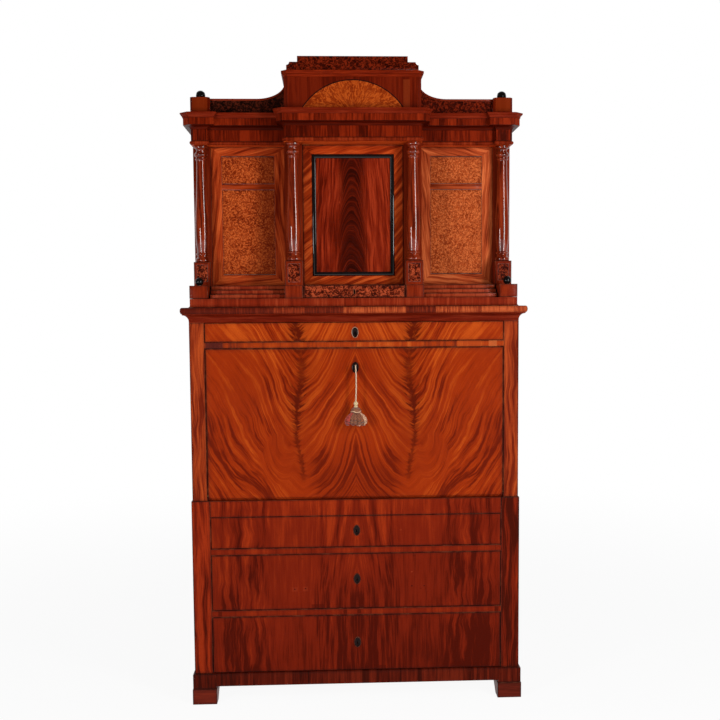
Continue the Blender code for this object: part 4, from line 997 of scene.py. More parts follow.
SEAT = 0.0003  # gap between boards that lie on each other
REVEAL = 0.0012  # gap round a drawer's front
DRAWER_HALF = 0.4915  # half width of the base drawers' fronts
TOP_DRAWER_HALF = 0.5000
RAIL_HALF, RAIL_LOW = 0.4927, 0.6425  # veneered front of the rail over the base drawers
BASE_FRONT = -0.2601
CASE_FRONT = -0.2541
CENTRE_HALF = 0.230  # frieze over the door
BLOCK_WIDTH = 0.056  # frieze block over an outer column
CANT = 0.008
KEY_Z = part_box("fall_lock_plate")[0].z * 0.5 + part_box("fall_lock_plate")[1].z * 0.5
DECK_LOW, DECK_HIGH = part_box("temple_deck")
ENTRY_LOW, ENTRY_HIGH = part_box("entablature")
BACK = ENTRY_HIGH.y
FAR_BACK = 1.0  # behind everything, for wear that leaves a back edge alone
TEMPLE_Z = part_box("inner_pedestal_left")[0].z
PEDESTAL_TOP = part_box("inner_pedestal_left")[1].z
ARCHITRAVE_Z = ENTRY_LOW.z
FRIEZE_Z = ARCHITRAVE_Z + 0.014
CORONA_Z = FRIEZE_Z + 0.048
CROWN_Z = CORONA_Z + 0.0245
ATTIC_Z = ENTRY_HIGH.z
WING_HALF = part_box("wing_right")[1].x
WING_FRONT = -0.0971
WING_DEPTH = 0.022
CENTRE_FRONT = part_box("inner_pedestal_left")[0].y + 0.002
BLOCK_FRONT = -0.1591
FRIEZE_FRONT = -0.1391
CORONA_OUT = 0.024
CROWN_OUT = 0.034
CHEEK_HEIGHT = 0.0435
POST_FOOT = 0.0015
POST_WIDTH = 0.0655
POST_CANT = 0.0075
FINIAL_HEIGHT = 0.026
CORD_Y = -0.2887
CORD_POINTS = [
    (0.0018 * math.sin(math.pi * i / 10), CORD_Y, 1.154 - 0.012 * i) for i in range(11)
]
PLATE_SHARES = (("lower", 0.51), ("middle", 0.54), ("upper", 0.53))
TOP_PLATE_SHARE = 0.46


# Studio


def rays_of(near, *kinds):
    """1 where a ray is of one of these kinds."""
    path = new_node(near, "LightPath")
    seen = Value(path.outputs[kinds[0]])
    for kind in kinds[1:]:
        seen = seen.most(path.outputs[kind])
    return seen


def mix_of(share, one, other):
    """Mix of two shaders' light."""
    node = new_node(one, "MixShader")
    for slot, item in zip(node.inputs, (share, one.outputs[0], other.outputs[0])):
        feed(slot, item)
    return node


def build_floor():
    """Pale floor that shows white to the camera, with the part's soft shadow near its foot."""
    bm = bmesh.new()
    bmesh.ops.create_grid(bm, x_segments=1, y_segments=1, size=14)
    mesh = bpy.data.meshes.new("studio_floor")
    bm.to_mesh(mesh)
    bm.free()
    add_object("studio_floor", mesh)
    material, shader = new_material("studio_paper")
    fill(shader, Base_Color=PAPER, Roughness=0.9, Specular_IOR_Level=0.0)
    x, y = spot_of(shader)[0][:2]
    far = (x * x + y * y).power(0.5).ramp(0.8, 4.5, 0.93, 1.0)
    seen = rays_of(shader, "Is Camera Ray", "Is Glossy Ray", "Is Transmission Ray")
    paper = mix_of(seen * far, shader, new_node(shader, "Emission"))
    feed(material.node_tree.nodes["Material Output"].inputs["Surface"], paper.outputs[0])
    mesh.materials.append(material)


def build_studio():
    """Two soft boxes in front, with a pale world that a camera sees as white."""
    world = bpy.data.worlds.new("studio")
    world.use_nodes = True
    bpy.context.scene.world = world
    nodes = world.node_tree.nodes
    ambient = fill(nodes["Background"], Color=(1, 1, 1), Strength=AMBIENT)
    white = fill(new_node(ambient, "Background"), Color=(1, 1, 1))
    dark = fill(new_node(ambient, "Background"), Strength=DIM_ROOM)
    behind = axes_of(new_node(ambient, "TexCoord").outputs["Generated"])[1].ramp(0.0, 0.35)
    mirror = rays_of(ambient, "Is Glossy Ray", "Is Transmission Ray")
    seen = rays_of(ambient, "Is Camera Ray").most(mirror * behind)
    paper = mix_of(seen, mix_of(mirror, ambient, dark), white)
    feed(nodes["World Output"].inputs["Surface"], paper.outputs[0])
    for lamp in LAMPS:
        add_lamp(*lamp)
    bpy.context.scene.view_settings.view_transform = "Standard"


# The key and its tassel

KEY_Y = -0.2727  # middle of the key's bow
SHANK = (
    (0.0, 0.0), (0.0030, 0.0), (0.0042, 0.0012, -0.0006), (0.0042, 0.0026, -0.0006), (0.0026, 0.0040),
    (0.0026, 0.0062), (0.0049, 0.0068), (0.0049, 0.0085, -0.0004), (0.0032, 0.0092), (0.0032, 0.0290),
    (0.0, 0.0290),
)
TASSEL_TOP = (
    (0.0, 0.0), (0.0034, 0.0), (0.0038, -0.0030, 0.0004), (0.0060, -0.0042), (0.0062, -0.0118, 0.0018),
    (0.0036, -0.0128), (0.0036, -0.0142), (0.0058, -0.0150), (0.0058, -0.0206, 0.0014),
    (0.0040, -0.0214), (0.0158, -0.0345, 0.0046), (0.0150, -0.0368, 0.0004), (0.0, -0.0368),
)
TUFT_ROWS = (  # count, start, spread, drop and thickness
    (15, 0.0155, 0.0322, 0.046, 0.0074), (9, 0.0085, 0.0165, 0.047, 0.0080),
    (5, 0.0030, 0.0060, 0.044, 0.0080),
)


def add_tube(bm, line, reach, around, rings, material=0):
    """Tube along a line of a share from 0 to 1; its radius comes from the angle and the share."""
    known = set(bm.verts)
    layer = bm.loops.layers.uv.get("yarn") or bm.loops.layers.uv.new("yarn")
    bmesh.ops.create_grid(bm, x_segments=around, y_segments=rings, size=1)
    spots = {
        vert: ((vert.co.x + 1) / 2, (vert.co.y + 1) / 2) for vert in bm.verts if vert not in known
    }
    faces = {face for vert in spots for face in vert.link_faces}
    for face in faces:
        face.material_index = material
        for loop in face.loops:
            loop[layer].uv = spots[loop.vert]
    for vert, (turn, share) in spots.items():
        ahead = Vector(line(min(share + 0.01, 1))) - Vector(line(max(share - 0.01, 0)))
        ahead.normalize()
        side = ahead.orthogonal() if abs(ahead.z) < 0.99 else Vector((1, 0, 0))
        side = (side - ahead * side.dot(ahead)).normalized()
        angle = math.tau * turn
        way = side * math.cos(angle) + ahead.cross(side) * math.sin(angle)
        vert.co = Vector(line(share)) + way * reach(angle, share)
    bmesh.ops.remove_doubles(bm, verts=list(spots), dist=WELD)
    ends = {edge for face in faces if face.is_valid for edge in face.edges if edge.is_boundary}
    for face in bmesh.ops.holes_fill(bm, edges=list(ends), sides=0)["faces"]:
        face.material_index = material


def build_cord():
    """Twisted silk cord: three strands that wind round each other."""
    steps = len(CORD_POINTS) - 1

    def line(share):
        index = min(int(share * steps), steps - 1)
        return Vector(CORD_POINTS[index]).lerp(Vector(CORD_POINTS[index + 1]), share * steps - index)

    def reach(angle, share):
        return 0.0025 * (0.70 + 0.30 * abs(math.cos(1.5 * (angle - share * 100))))

    bm = bmesh.new()
    add_tube(bm, line, reach, 24, 190)
    silk = yarn_material("cord_silk", CORD_SILK)
    return finish_piece("silk_cord", bm, [silk], "tassel_cord", 70, "tassel")


def build_tassel_top():
    """Bound collar with two wound rings, the head and a piping over the skirt."""
    top = CORD_POINTS[-1][2] - SEAT
    bm = bmesh.new()
    add_turning(bm, curve_through(TASSEL_TOP, top), (0, CORD_Y), 60)
    paint(bm, lambda spot: spot.z <= top - 0.0212)
    for vert in bm.verts:
        run = Vector((vert.co.x, vert.co.y - CORD_Y, 0))
        if run.length > 0.002:
            groove = 0.5 + 0.5 * math.cos(20 * math.atan2(run.y, run.x) + vert.co.z * 900)
            vert.co -= run.normalized() * 0.0006 * (1 - groove)

    def loop_line(share):
        angle = math.tau * share
        lift = 0.0020 * math.cos(3 * angle + 0.6)
        return (0.0158 * math.cos(angle), CORD_Y + 0.0150 * math.sin(angle), top - 0.0352 + lift)

    def loop_reach(turn, share):
        return 0.0019 * (0.78 + 0.22 * abs(math.cos(turn - share * 90)))

    add_tube(bm, loop_line, loop_reach, 12, 150, 2)
    for vert in bm.verts:
        vert.co.z = max(0.9960, vert.co.z)
    silks = [head_material("collar_silk", COLLAR_SILK), head_material("head_silk", HEAD_SILK),
             head_material("piping_silk", PIPING_SILK)]
    return finish_piece("tassel_top", bm, silks, "tassel_head", 60, "tassel")


def build_tassel_skirt():
    """Soft looped tufts in three rows: red at the left, brown in the middle, cream at the right."""
    chance = random.Random(7)
    top = 0.9952
    flat = 0.46
    bm = bmesh.new()
    for count, start, spread, drop, thick in TUFT_ROWS:
        for i in range(count):
            angle = math.tau * (i + chance.uniform(-0.12, 0.12)) / count
            long = drop * chance.uniform(0.86, 0.99)
            wide = spread * chance.uniform(0.92, 1.02)
            hue = math.cos(angle) + chance.uniform(-0.12, 0.12)
            phase = chance.uniform(0, 6)

            def line(share):
                out = start * 0.55 + (wide - start * 0.55) * math.sin(share * math.pi * 0.62) ** 0.9
                across, ahead = math.cos(angle) * out, math.sin(angle) * out * flat
                return (across, CORD_Y + ahead, top - long * share)

            def reach(turn, share):
                swell = 0.30 + 0.70 * math.sin(math.pi * min(1.0, share * 0.80 + 0.10)) ** 0.8
                tip = math.sqrt(max(0.0, 1 - max(0.0, (share - 0.80) / 0.20) ** 2))
                strand = 0.88 + 0.12 * math.cos(9 * turn + 7 * share + phase)
                return max(0.0002, thick * swell * tip * strand)

            add_tube(bm, line, reach, 27, 16, (hue >= -0.52) + (hue >= 0.74))
    for vert in bm.verts:
        vert.co.x = max(-0.0398, min(0.0398, vert.co.x))
        vert.co.y = max(CORD_Y - 0.0198, min(CORD_Y + 0.0198, vert.co.y))
        vert.co.z = max(0.9476, min(0.9953, vert.co.z))
    yarns = [yarn_material("tuft_red", TUFT_RED, 9), yarn_material("tuft_brown", TUFT_BROWN, 9),
             yarn_material("tuft_cream", TUFT_CREAM, 9)]
    return finish_piece("tassel_skirt_tufts", bm, yarns, "tassel_skirt", 70, "tassel")


def build_key():
    """Key with a ring bow, its shank and its collar."""
    bm = bmesh.new()
    add_turning(bm, curve_through(SHANK), (0, 0), 32)
    aim = Matrix.Translation((0, KEY_Y + 0.0108, KEY_Z)) @ Matrix.Rotation(-math.pi / 2, 4, "X")
    bmesh.ops.transform(bm, matrix=aim, verts=bm.verts)
    shank = set(bm.verts)
    section = arc((0.0115, 0), 0.0017, 0, math.tau, 15)[:-1]
    verts = [bm.verts.new((across, 0, up)) for across, up in section]
    edges = [bm.edges.new((verts[i - 1], verts[i])) for i in range(len(verts))]
    spin_round(bm, verts + edges, (0, 0, 0), 48)
    ring = [vert for vert in bm.verts if vert not in shank]
    turn = Matrix.Translation((0, KEY_Y, KEY_Z)) @ Matrix.Rotation(math.pi / 2, 4, "Y")
    bmesh.ops.transform(bm, matrix=turn, verts=ring)
    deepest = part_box("key")[1].y
    for vert in bm.verts:
        vert.co.y = min(vert.co.y, deepest)
    finish_piece("lock_key", bm, [metal_material("key_steel", STEEL, 0.34)], "key", 50, "key")


def build_tassel():
    """Everything that hangs on the key."""
    cord = build_cord()
    top = build_tassel_top()
    skirt = build_tassel_skirt()


# Lock plates

PLATE_RINGS = (  # share of the way from the keyhole to the edge, and height over the front
    (1.0, 0.0), (1.0, 0.45), (0.965, 0.80), (0.92, 1.0), (0.84, 1.0), (0.80, 0.88), (0.0, 0.86),
    (0.0, -2.0),
)


def keyhole_edge(angle):
    """Distance from a keyhole's middle to its edge, in one direction."""
    down = -math.sin(angle)
    if down <= 0:
        return 0.0026
    return max(0.0026, min(0.0016 / max(abs(math.cos(angle)), 0.0001), 0.0090 / down))


def build_lock_plate(word, z, front, body, materials, replaces="", hole=keyhole_edge, half=0.0118,
                     tall=0.0189, thick=0.0026):
    """Oval plate with a rim, a slight dish and a keyhole, standing on a front."""
    bm = bmesh.new()
    tag = bm.verts.layers.float.new("angle")
    bmesh.ops.create_circle(bm, segments=72, radius=1)
    verts, edges, faces = list(bm.verts), list(bm.edges), ()
    for vert in verts:
        vert[tag] = math.atan2(vert.co.y, vert.co.x)
    for i, (share, proud) in enumerate(PLATE_RINGS):
        if i:
            verts, edges, faces = grow_ring(bm, edges)
        for face in faces:
            face.material_index = int(i > 4)
        for vert in verts:
            cosine, sine, near = math.cos(vert[tag]), math.sin(vert[tag]), hole(vert[tag])
            spot = Vector((near * cosine, near * sine)).lerp(Vector((half * cosine, tall * sine)), share)
            vert.co = (spot.x, front - thick * proud, z + spot.y)
    finish_piece("lock_plate_" + word, bm, materials, replaces, 40, body)


def build_lock_plates():
    """Dark horn plates on the base drawers and the fall, a pale rimmed one on the top drawer."""
    horn = horn_material("plate_dark_horn", HORN)
    brown = horn_material("plate_brown_rim", BROWN_HORN)
    pale = horn_material("plate_pale_rim", PALE_HORN)
    for word, share in PLATE_SHARES:
        z = plate_height("drawer_" + word, share)
        build_lock_plate(word, z, BASE_FRONT, word + "_drawer", [brown, horn])
    z = plate_height("drawer_top", TOP_PLATE_SHARE)
    build_lock_plate("top", z, CASE_FRONT, "top_drawer", [pale, horn])
    build_lock_plate(
        "fall", KEY_Z, CASE_FRONT - SEAT, "fall", [horn, horn], "fall_lock_plate",
        hole=lambda angle: 0.0037, half=0.0115, tall=0.0185, thick=0.0018,
    )


def keyhole_shade(z):
    """Painted shade: a black patch on the wood behind a lock plate's keyhole, for the dark of the hole."""
    return (0.0, z, 0.0045, 0.0105, BLACK, 1.0)


def plate_height(node, share):
    """Height of a drawer's lock plate, as a share of its front."""
    low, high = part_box(node)
    low_z = low.z + REVEAL
    return low_z + (high.z - low_z) * share


# The carcass

PLINTH_STAINS = (
    (0.026, 0.085, 0.012, 0.030, PLINTH[0], 0.75), (0.212, 0.085, 0.007, 0.030, PLINTH[0], 0.75),
    (-0.300, 0.085, 0.050, 0.030, PLINTH[1], 0.35),
)
DRAWER_MARKS = {
    "lower": [(0.077, 0.1120, 0.020, 0.0080, BASE_FLAME[0], 0.65)],
    "middle": [
        (-0.134, 0.3290, 0.022, 0.0085, BASE_FLAME[0], 0.60),
        (-0.212, 0.3900, 0.0100, 0.0075, SCAR, 0.20), (-0.176, 0.3910, 0.0090, 0.0080, SCAR, 0.20),
        (-0.212, 0.3905, 0.0024, 0.0020, HOLE, 0.85), (-0.176, 0.3925, 0.0026, 0.0020, HOLE, 0.85),
        (0.187, 0.3950, 0.0026, 0.0020, HOLE, 0.85), (0.229, 0.3950, 0.0022, 0.0020, HOLE, 0.75),
        (0.218, 0.3860, 0.0016, 0.0016, HOLE, 0.55), (0.187, 0.4440, 0.0030, 0.0012, SCAR, 0.85),
        (-0.185, 0.4960, 0.0050, 0.0030, HOLE, 0.30), (0.196, 0.5000, 0.0050, 0.0030, HOLE, 0.25),
    ],
    "upper": [(0.150, 0.5900, 0.004, 0.0025, SCAR, 0.3)],
}
RAIL_SQUARES = tuple(
    (spot, 0.3095, 0.0065, 0.0075, BASE_STILE[0], 0.7) for spot in (-0.466, -0.041, 0.006, 0.478)
)
RAIL_MENDS = (
    (-0.470, 1.2203, 0.029, 0.02, (0.060, 0.0110, 0.0090), 0.85),
    (0.464, 1.2203, 0.014, 0.02, (0.520, 0.1200, 0.0300), 0.60),
    (0.384, 1.2203, 0.040, 0.02, (0.400, 0.0620, 0.0120), 0.40),
)


def dress_drawer(node, half, front, tones, figure, margin, share, marks=()):
    """Figured veneer on a drawer's front, with painted shade behind its lock plate's keyhole."""
    low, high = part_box(node)
    box = ((-half, front, low.z + REVEAL), (half, high.y, high.z))
    patches = [*marks, keyhole_shade(plate_height(node, share))]
    dress(node, front_material(node + "_flame", tones, box, figure, FRONT_DEPTH, margin, patches))


def dress_base():
    """Feet, plinth, base chest and its drawers."""
    # The right foot and base side get lower balances than the left: painted shade of the right side
    for word, foot_tone, stile_tone in (("left", 0.55, 0.60), ("right", 0.20, 0.28)):
        for row in ("front", "back"):
            dress_wood("foot_" + row + "_" + word, FOOT, "x", 0.010, foot_tone, 1.3)
        dress_wood("base_side_" + word, BASE_STILE, "z", 0.016, stile_tone, 1.6, wave=0.05, calm=0.9)
    dress("plinth", band_material(
        "plinth_veneer", PLINTH, box_of("plinth"), 0.090, 3.1, 0.012, balance=0.60, spread=0.40,
        patches=PLINTH_STAINS,
    ))
    for node, along in (("base_back", "z"), ("case_back", "z"), ("base_floor", "x")):
        dress(node, grain_material(node + "_softwood", PINE, along, 0.02))
    rail_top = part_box("base_top_rail")[1].z
    front_box = ((-RAIL_HALF, BASE_FRONT, RAIL_LOW), (RAIL_HALF, BACK, rail_top - SEAT))
    dress("base_top_rail", front_material(
        "rail_flame", BASE_FLAME, front_box, upright_color, 0.0, 0.0014
    ))
    for word, share in PLATE_SHARES:
        dress_drawer("drawer_" + word, DRAWER_HALF, BASE_FRONT, BASE_FLAME, upright_color, 0.0018,
                     share, DRAWER_MARKS[word])
    for node, marks in (("divider_lower", RAIL_SQUARES), ("divider_upper", ())):
        dress(node, band_material(
            node + "_veneer", BASE_FLAME, box_of(node), 0.110, 5.7, 0.030, spread=0.18, contrast=0.6,
            patches=marks,
        ))


def dress_case():
    """Upper carcass, fall, top drawer and what is behind them."""
    brass = metal_material("fitting_brass", BRASS, 0.25)
    for word in ("left", "right"):
        dress_wood("case_side_" + word, STILE, "z", 0.016, 0.50, 2.0, wave=0.05, calm=1.2)
        node = "nest_drawer_" + word
        dress(node, grain_material(node + "_wood", WING_SHADED_LEFT, "x", 0.012))
        dress("fall_stay_" + word, brass)
        dress("fall_pivot_" + word, brass)
    dress("door_pivot_bottom", brass)
    dress("door_pivot_top", brass)
    # The fall has painted shade behind its keyhole
    dress("fall_front", front_material(
        "fall_flame", FLAME, box_of("fall_front"), flame_color, 0.0, 0.0034, [keyhole_shade(KEY_Z)]
    ))
    dress_drawer("drawer_top", TOP_DRAWER_HALF, CASE_FRONT, FLAME, flame_color, 0.0022, TOP_PLATE_SHARE)
    dress("top_drawer_floor", band_material(
        "rail_veneer", RAIL, box_of("top_drawer_floor"), 0.120, 1.9, 0.024, spread=0.30, contrast=0.8,
        patches=RAIL_MENDS,
    ))
    dress("writing_floor", grain_material("writing_wood", INSIDE, "x", 0.02))
    dress("nest", grain_material("nest_wood", INSIDE, "z", 0.016))


def build_case_top():
    """Cove under a rounded top board."""
    half, front = 0.5515, CASE_FRONT
    cove_out, board_out, board_height = 0.0195, 0.0255, 0.0215
    cove, top = (corner.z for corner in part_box("case_top"))
    cove_top = top - board_height
    fillet = (cove_top - cove) / 8
    nose = (top - cove_top) / 2
    profile = [(0.0, cove), *hollow(0.0, cove + fillet, cove_out, cove_top - cove - 2 * fillet, 13)]
    profile += [(cove_out, cove_top - SEAT)]
    profile += [(board_out - nose / 2 + nose / 2 * math.cos(angle), cove_top + nose + nose * math.sin(angle))
                for angle in sweep(-math.pi / 2, math.pi / 2, 11)]
    bm = bmesh.new()
    add_moulding(bm, plan_of(half, front, BACK), profile)
    paint(bm, lambda spot: (spot.z > cove_top - 0.0002) + (spot.z > top - 0.0001))
    board = ((-half - board_out, front - board_out, cove_top), (half + board_out, FAR_BACK, top))
    finish_piece("case_top_board", bm, [
        grain_material("cove_wood", COVE, "x", 0.008, None, 0.5, 1.2),
        band_material("top_edge_veneer", TOP_EDGE, board, 0.110, 2.3, 0.004, balance=0.48, spread=0.7,
                      slope=0.40),
        grain_material("top_wood", SIDE, "x", 0.02),
    ], "case_top")


# The temple

PEDESTALS = (  # row, sides, front and depth of the shaft, panel's margin over the foot, foot
    ("inner", 0.1712, 0.2312, CENTRE_FRONT, 0.0574, 0.0095,
     (0.1732, 0.2332, CENTRE_FRONT - 0.002, CENTRE_FRONT + 0.0568)),
    ("outer", 0.4862, 0.5427, BLOCK_FRONT, 0.0557, 0.0140,
     (0.4884, 0.5489, DECK_LOW.y + 0.0035, BLOCK_FRONT + 0.02825)),
)
PANEL_MARGIN = 0.0095
CAPITAL = (
    (0.0, 0.0), (1.06, 0.0), (1.14, -0.0030, 0.0005), (1.14, -0.0080), (1.04, -0.0098, 0.0004),
    (0.70, -0.0178, -0.0020), (0.70, -0.0200), (0.86, -0.0215), (0.86, -0.0240),
    (0.88, -0.0382, 0.0044), (0.78, -0.0396), (0.78, -0.0424), (0.88, -0.0436),
    (0.88, -0.0478, 0.0009), (0.79, -0.0492), (0.745, -0.0530, -0.0003),
)
COLUMN_FOOT = (
    (0.98, 0.0300), (0.94, 0.0232, 0.0022), (0.84, 0.0222), (0.84, 0.0200), (1.08, 0.0118, -0.0012),
    (1.12, 0.0110), (1.12, 0.0008, 0.0015), (0.0, 0.0),
)
FINIAL = (
    (0.0, FINIAL_HEIGHT), (0.0095, 0.0232, 0.0012), (0.0148, 0.0150, 0.0014), (0.0156, 0.0060, 0.0006),
    (0.0142, 0.0046), (0.0166, 0.0030, -0.0004), (0.0170, 0.0, 0.0006), (0.0, 0.0),
)
MEMBERS = ("left", "right", "bottom", "top")
WINGS = (  # side, wood, its balance in the right member, burr, its darkness and its shade; all but the side are painted light and shade, the left wing darker and shaded at its right
    ("left", -1, WING_SHADED_LEFT, 0.40, BURR_GOLD_SHADED, 0.06, (-0.345, -0.285, 0.42)),
    ("right", 1, WING_LIT_RIGHT, 0.54, BURR_GOLD, -0.08, None),
)
WING_LEANS = (0.12, -0.10, 1.47, 1.30)
DOOR_LEANS = (-0.85, -0.70, -1.25, -1.30)
CROWN_CURVE = (  # shares of the crown's projection and height
    (0.22, 0.02), (0.24, 0.12), (0.26, 0.24), (0.34, 0.38), (0.50, 0.50), (0.70, 0.58),
    (0.86, 0.66), (0.92, 0.74), (0.92, 0.80), (1.0, 0.82), (1.0, 1.0),
)


def build_deck():
    """Base board of the temple with a small cove at its foot, and two flights of steps."""
    front, half, low = DECK_LOW.y, DECK_HIGH.x, DECK_LOW.z
    cove = 0.004
    profile = [(0.0, low)]
    profile += [(out, z) for z, out in hollow(low + 0.0012, 0.0, 0.0060, -cove, 7)]
    profile += [(-cove, TEMPLE_Z - 0.0012), (-cove - 0.0010, TEMPLE_Z - SEAT)]
    bm = bmesh.new()
    add_moulding(bm, plan_of(half, front, BACK), profile)
    board = ((-half, front, low), (half, FAR_BACK, TEMPLE_Z))
    materials = [band_material("base_board_veneer", DECK, board, 0.060, 4.4, 0.010, spread=0.22,
                               contrast=0.9)]
    ledge, tread, riser = 0.027, 0.024, CHEEK_HEIGHT / 3
    near, far = 0.2335, 0.4838
    for i in range(3):
        step_front = front + ledge + i * tread
        foot, head = TEMPLE_Z + i * riser, TEMPLE_Z - SEAT + (i + 1) * riser
        for side in (-1, 1):
            add_box(bm, (side * near, step_front, foot - SEAT), (side * far, WING_FRONT - SEAT, head),
                    0.0009, i + 1)
        materials.append(band_material(
            "step_veneer_" + str(i), DECK, ((-far, step_front, foot), (far, FAR_BACK, head)),
            0.070 + 0.008 * i, 1.3 + 2 * i, 0.010, balance=0.80, spread=0.45, contrast=0.8,
        ))
    finish_piece("base_board_steps", bm, materials, "temple_deck", 30)


def sink_burr(bm, middle, half, low, high, front):
    """Sunk burr panel in a box's front face, with a fine line round it."""
    for spot, way in (((middle - half, 0, 0), (1, 0, 0)), ((middle + half, 0, 0), (1, 0, 0)),
                      ((0, 0, low), (0, 0, 1)), ((0, 0, high), (0, 0, 1))):
        every = [*bm.verts, *bm.edges, *bm.faces]
        bmesh.ops.bisect_plane(bm, geom=every, dist=0.00001, plane_co=spot, plane_no=way)
    bm.normal_update()
    centre = Vector((middle, front, (low + high) / 2))
    face = min(bm.faces, key=lambda item: (item.calc_center_median() - centre).length)
    for part in bmesh.ops.inset_region(bm, faces=[face], thickness=0.0011, depth=0.0)["faces"]:
        part.material_index = 2
    bmesh.ops.inset_region(bm, faces=[face], thickness=0.0005, depth=-0.0012)
    face.material_index = 1


def build_pedestals():
    """Pedestals with a sunk burr panel in a fine pale line, and cheek blocks beside the steps."""
    for word, side in SIDES:
        for row, inner, outer, front, deep, margin, foot in PEDESTALS:
            node = row + "_pedestal_" + word
            left, right = span(side, inner, outer)
            shaft = ((left, front, TEMPLE_Z), (right, front + deep, PEDESTAL_TOP))
            foot_left, foot_right = span(side, *foot[:2])
            foot_box = ((foot_left, foot[2], TEMPLE_Z + SEAT), (foot_right, foot[3], TEMPLE_Z + CHEEK_HEIGHT))
            bm = bmesh.new()
            add_box(bm, *shaft, 0.0009)
            sink_burr(bm, (left + right) / 2, (outer - inner) / 2 - PANEL_MARGIN,
                      TEMPLE_Z + CHEEK_HEIGHT + margin, PEDESTAL_TOP - PANEL_MARGIN, front)
            add_box(bm, *foot_box, 0.0010, 3)
            finish_piece(node + "_dressed", bm, [
                grain_material(node + "_wood", TEMPLE, "z", 0.010, shaft, 0.5, 1.0),
                burr_material(node + "_burr", BURR_RED, 0.0044, 0.30),
                line_material(node + "_line"),
                grain_material(node + "_foot", TEMPLE, "z", 0.008, foot_box, 0.55, 1.0),
            ], node, 30)


def build_balls():
    """Ebonized balls on a short turned neck."""
    ebony = ebony_material("ball_ebony")
    radius, neck = 0.014, 0.006
    for word in ("left", "right"):
        spot, low, high = axis_of("ball_" + word)
        profile = [(0.0, high)]
        profile += [(radius * math.sin(angle), high - radius + radius * math.cos(angle))
                    for angle in sweep(0, math.pi - math.asin(neck / radius), 25)[1:]]
        profile += [(neck + 0.0012, low + 0.0008), (neck + 0.0012, low), (0.0, low)]
        bm = bmesh.new()
        add_turning(bm, profile, spot, 48)
        finish_piece("ball_" + word + "_turned", bm, [ebony], "ball_" + word, 50)


def build_columns():
    """Columns with a bell capital, a swelling shaft and a moulded foot."""
    radius = 0.0212
    neck, ankle, swell = 0.0160, 0.0178, 0.0070
    for place in ("inner_left", "inner_right", "outer_left", "outer_right"):
        node = "column_" + place
        spot, foot, top = axis_of(node)
        profile = curve_through(CAPITAL, top, radius)
        shaft_low, shaft_high = foot + 0.032, top - 0.053
        for share in sweep(0, 1, 25)[1:]:
            profile.append((neck + (ankle - neck) * share + swell * math.sin(math.pi * share ** 2.2),
                            shaft_high + (shaft_low - shaft_high) * share))
        profile += curve_through(COLUMN_FOOT, foot, radius)
        bm = bmesh.new()
        add_turning(bm, profile, spot, 72)
        wood = grain_material(
            node + "_wood", COLUMN, "z", 0.011, None, 0.5, 1.9, roughness=0.45, coat=0.9,
            specular=0.0, gloss=0.04,
        )
        finish_piece(node + "_turned", bm, [wood], node)


def mitred(a, b, c, d, width, head):
    """Outlines of a frame's left, right, bottom and top member, from its sides, its foot and its head.
    The top member has a width of its own."""
    inner_a, inner_b, inner_c, inner_d = a + width, b - width, c + width, d - head
    return (
        [(a, c), (inner_a, inner_c), (inner_a, inner_d), (a, d)],
        [(b, c), (b, d), (inner_b, inner_d), (inner_b, inner_c)],
        [(a, c), (b, c), (inner_b, inner_c), (inner_a, inner_c)],
        [(a, d), (inner_a, inner_d), (inner_b, inner_d), (b, d)],
    )


def add_frame_bead(bm, low_x, high_x, low_z, high_z, profile, material):
    """Moulding round a rectangle: pairs of the way in from the edge and the place in depth."""
    corners = ((low_x, low_z, 1, 1), (high_x, low_z, -1, 1), (high_x, high_z, -1, -1),
               (low_x, high_z, 1, -1))
    known = set(bm.faces)
    verts, tag = numbered_verts(bm, [(corner[0], 0, corner[1]) for corner in corners])
    edges = [bm.edges.new((verts[i - 1], verts[i])) for i in range(4)]
    every = list(verts)
    for step, (inset, depth) in enumerate([*profile, profile[0]]):
        if step:
            verts, edges = grow_ring(bm, edges)[:2]
            every += verts
        for vert in verts:
            x, z, way_x, way_z = corners[vert[tag]]
            vert.co = (x + way_x * inset, depth, z + way_z * inset)
    bmesh.ops.remove_doubles(bm, verts=every, dist=WELD)
    for face in bm.faces:
        if face not in known:
            face.material_index = material


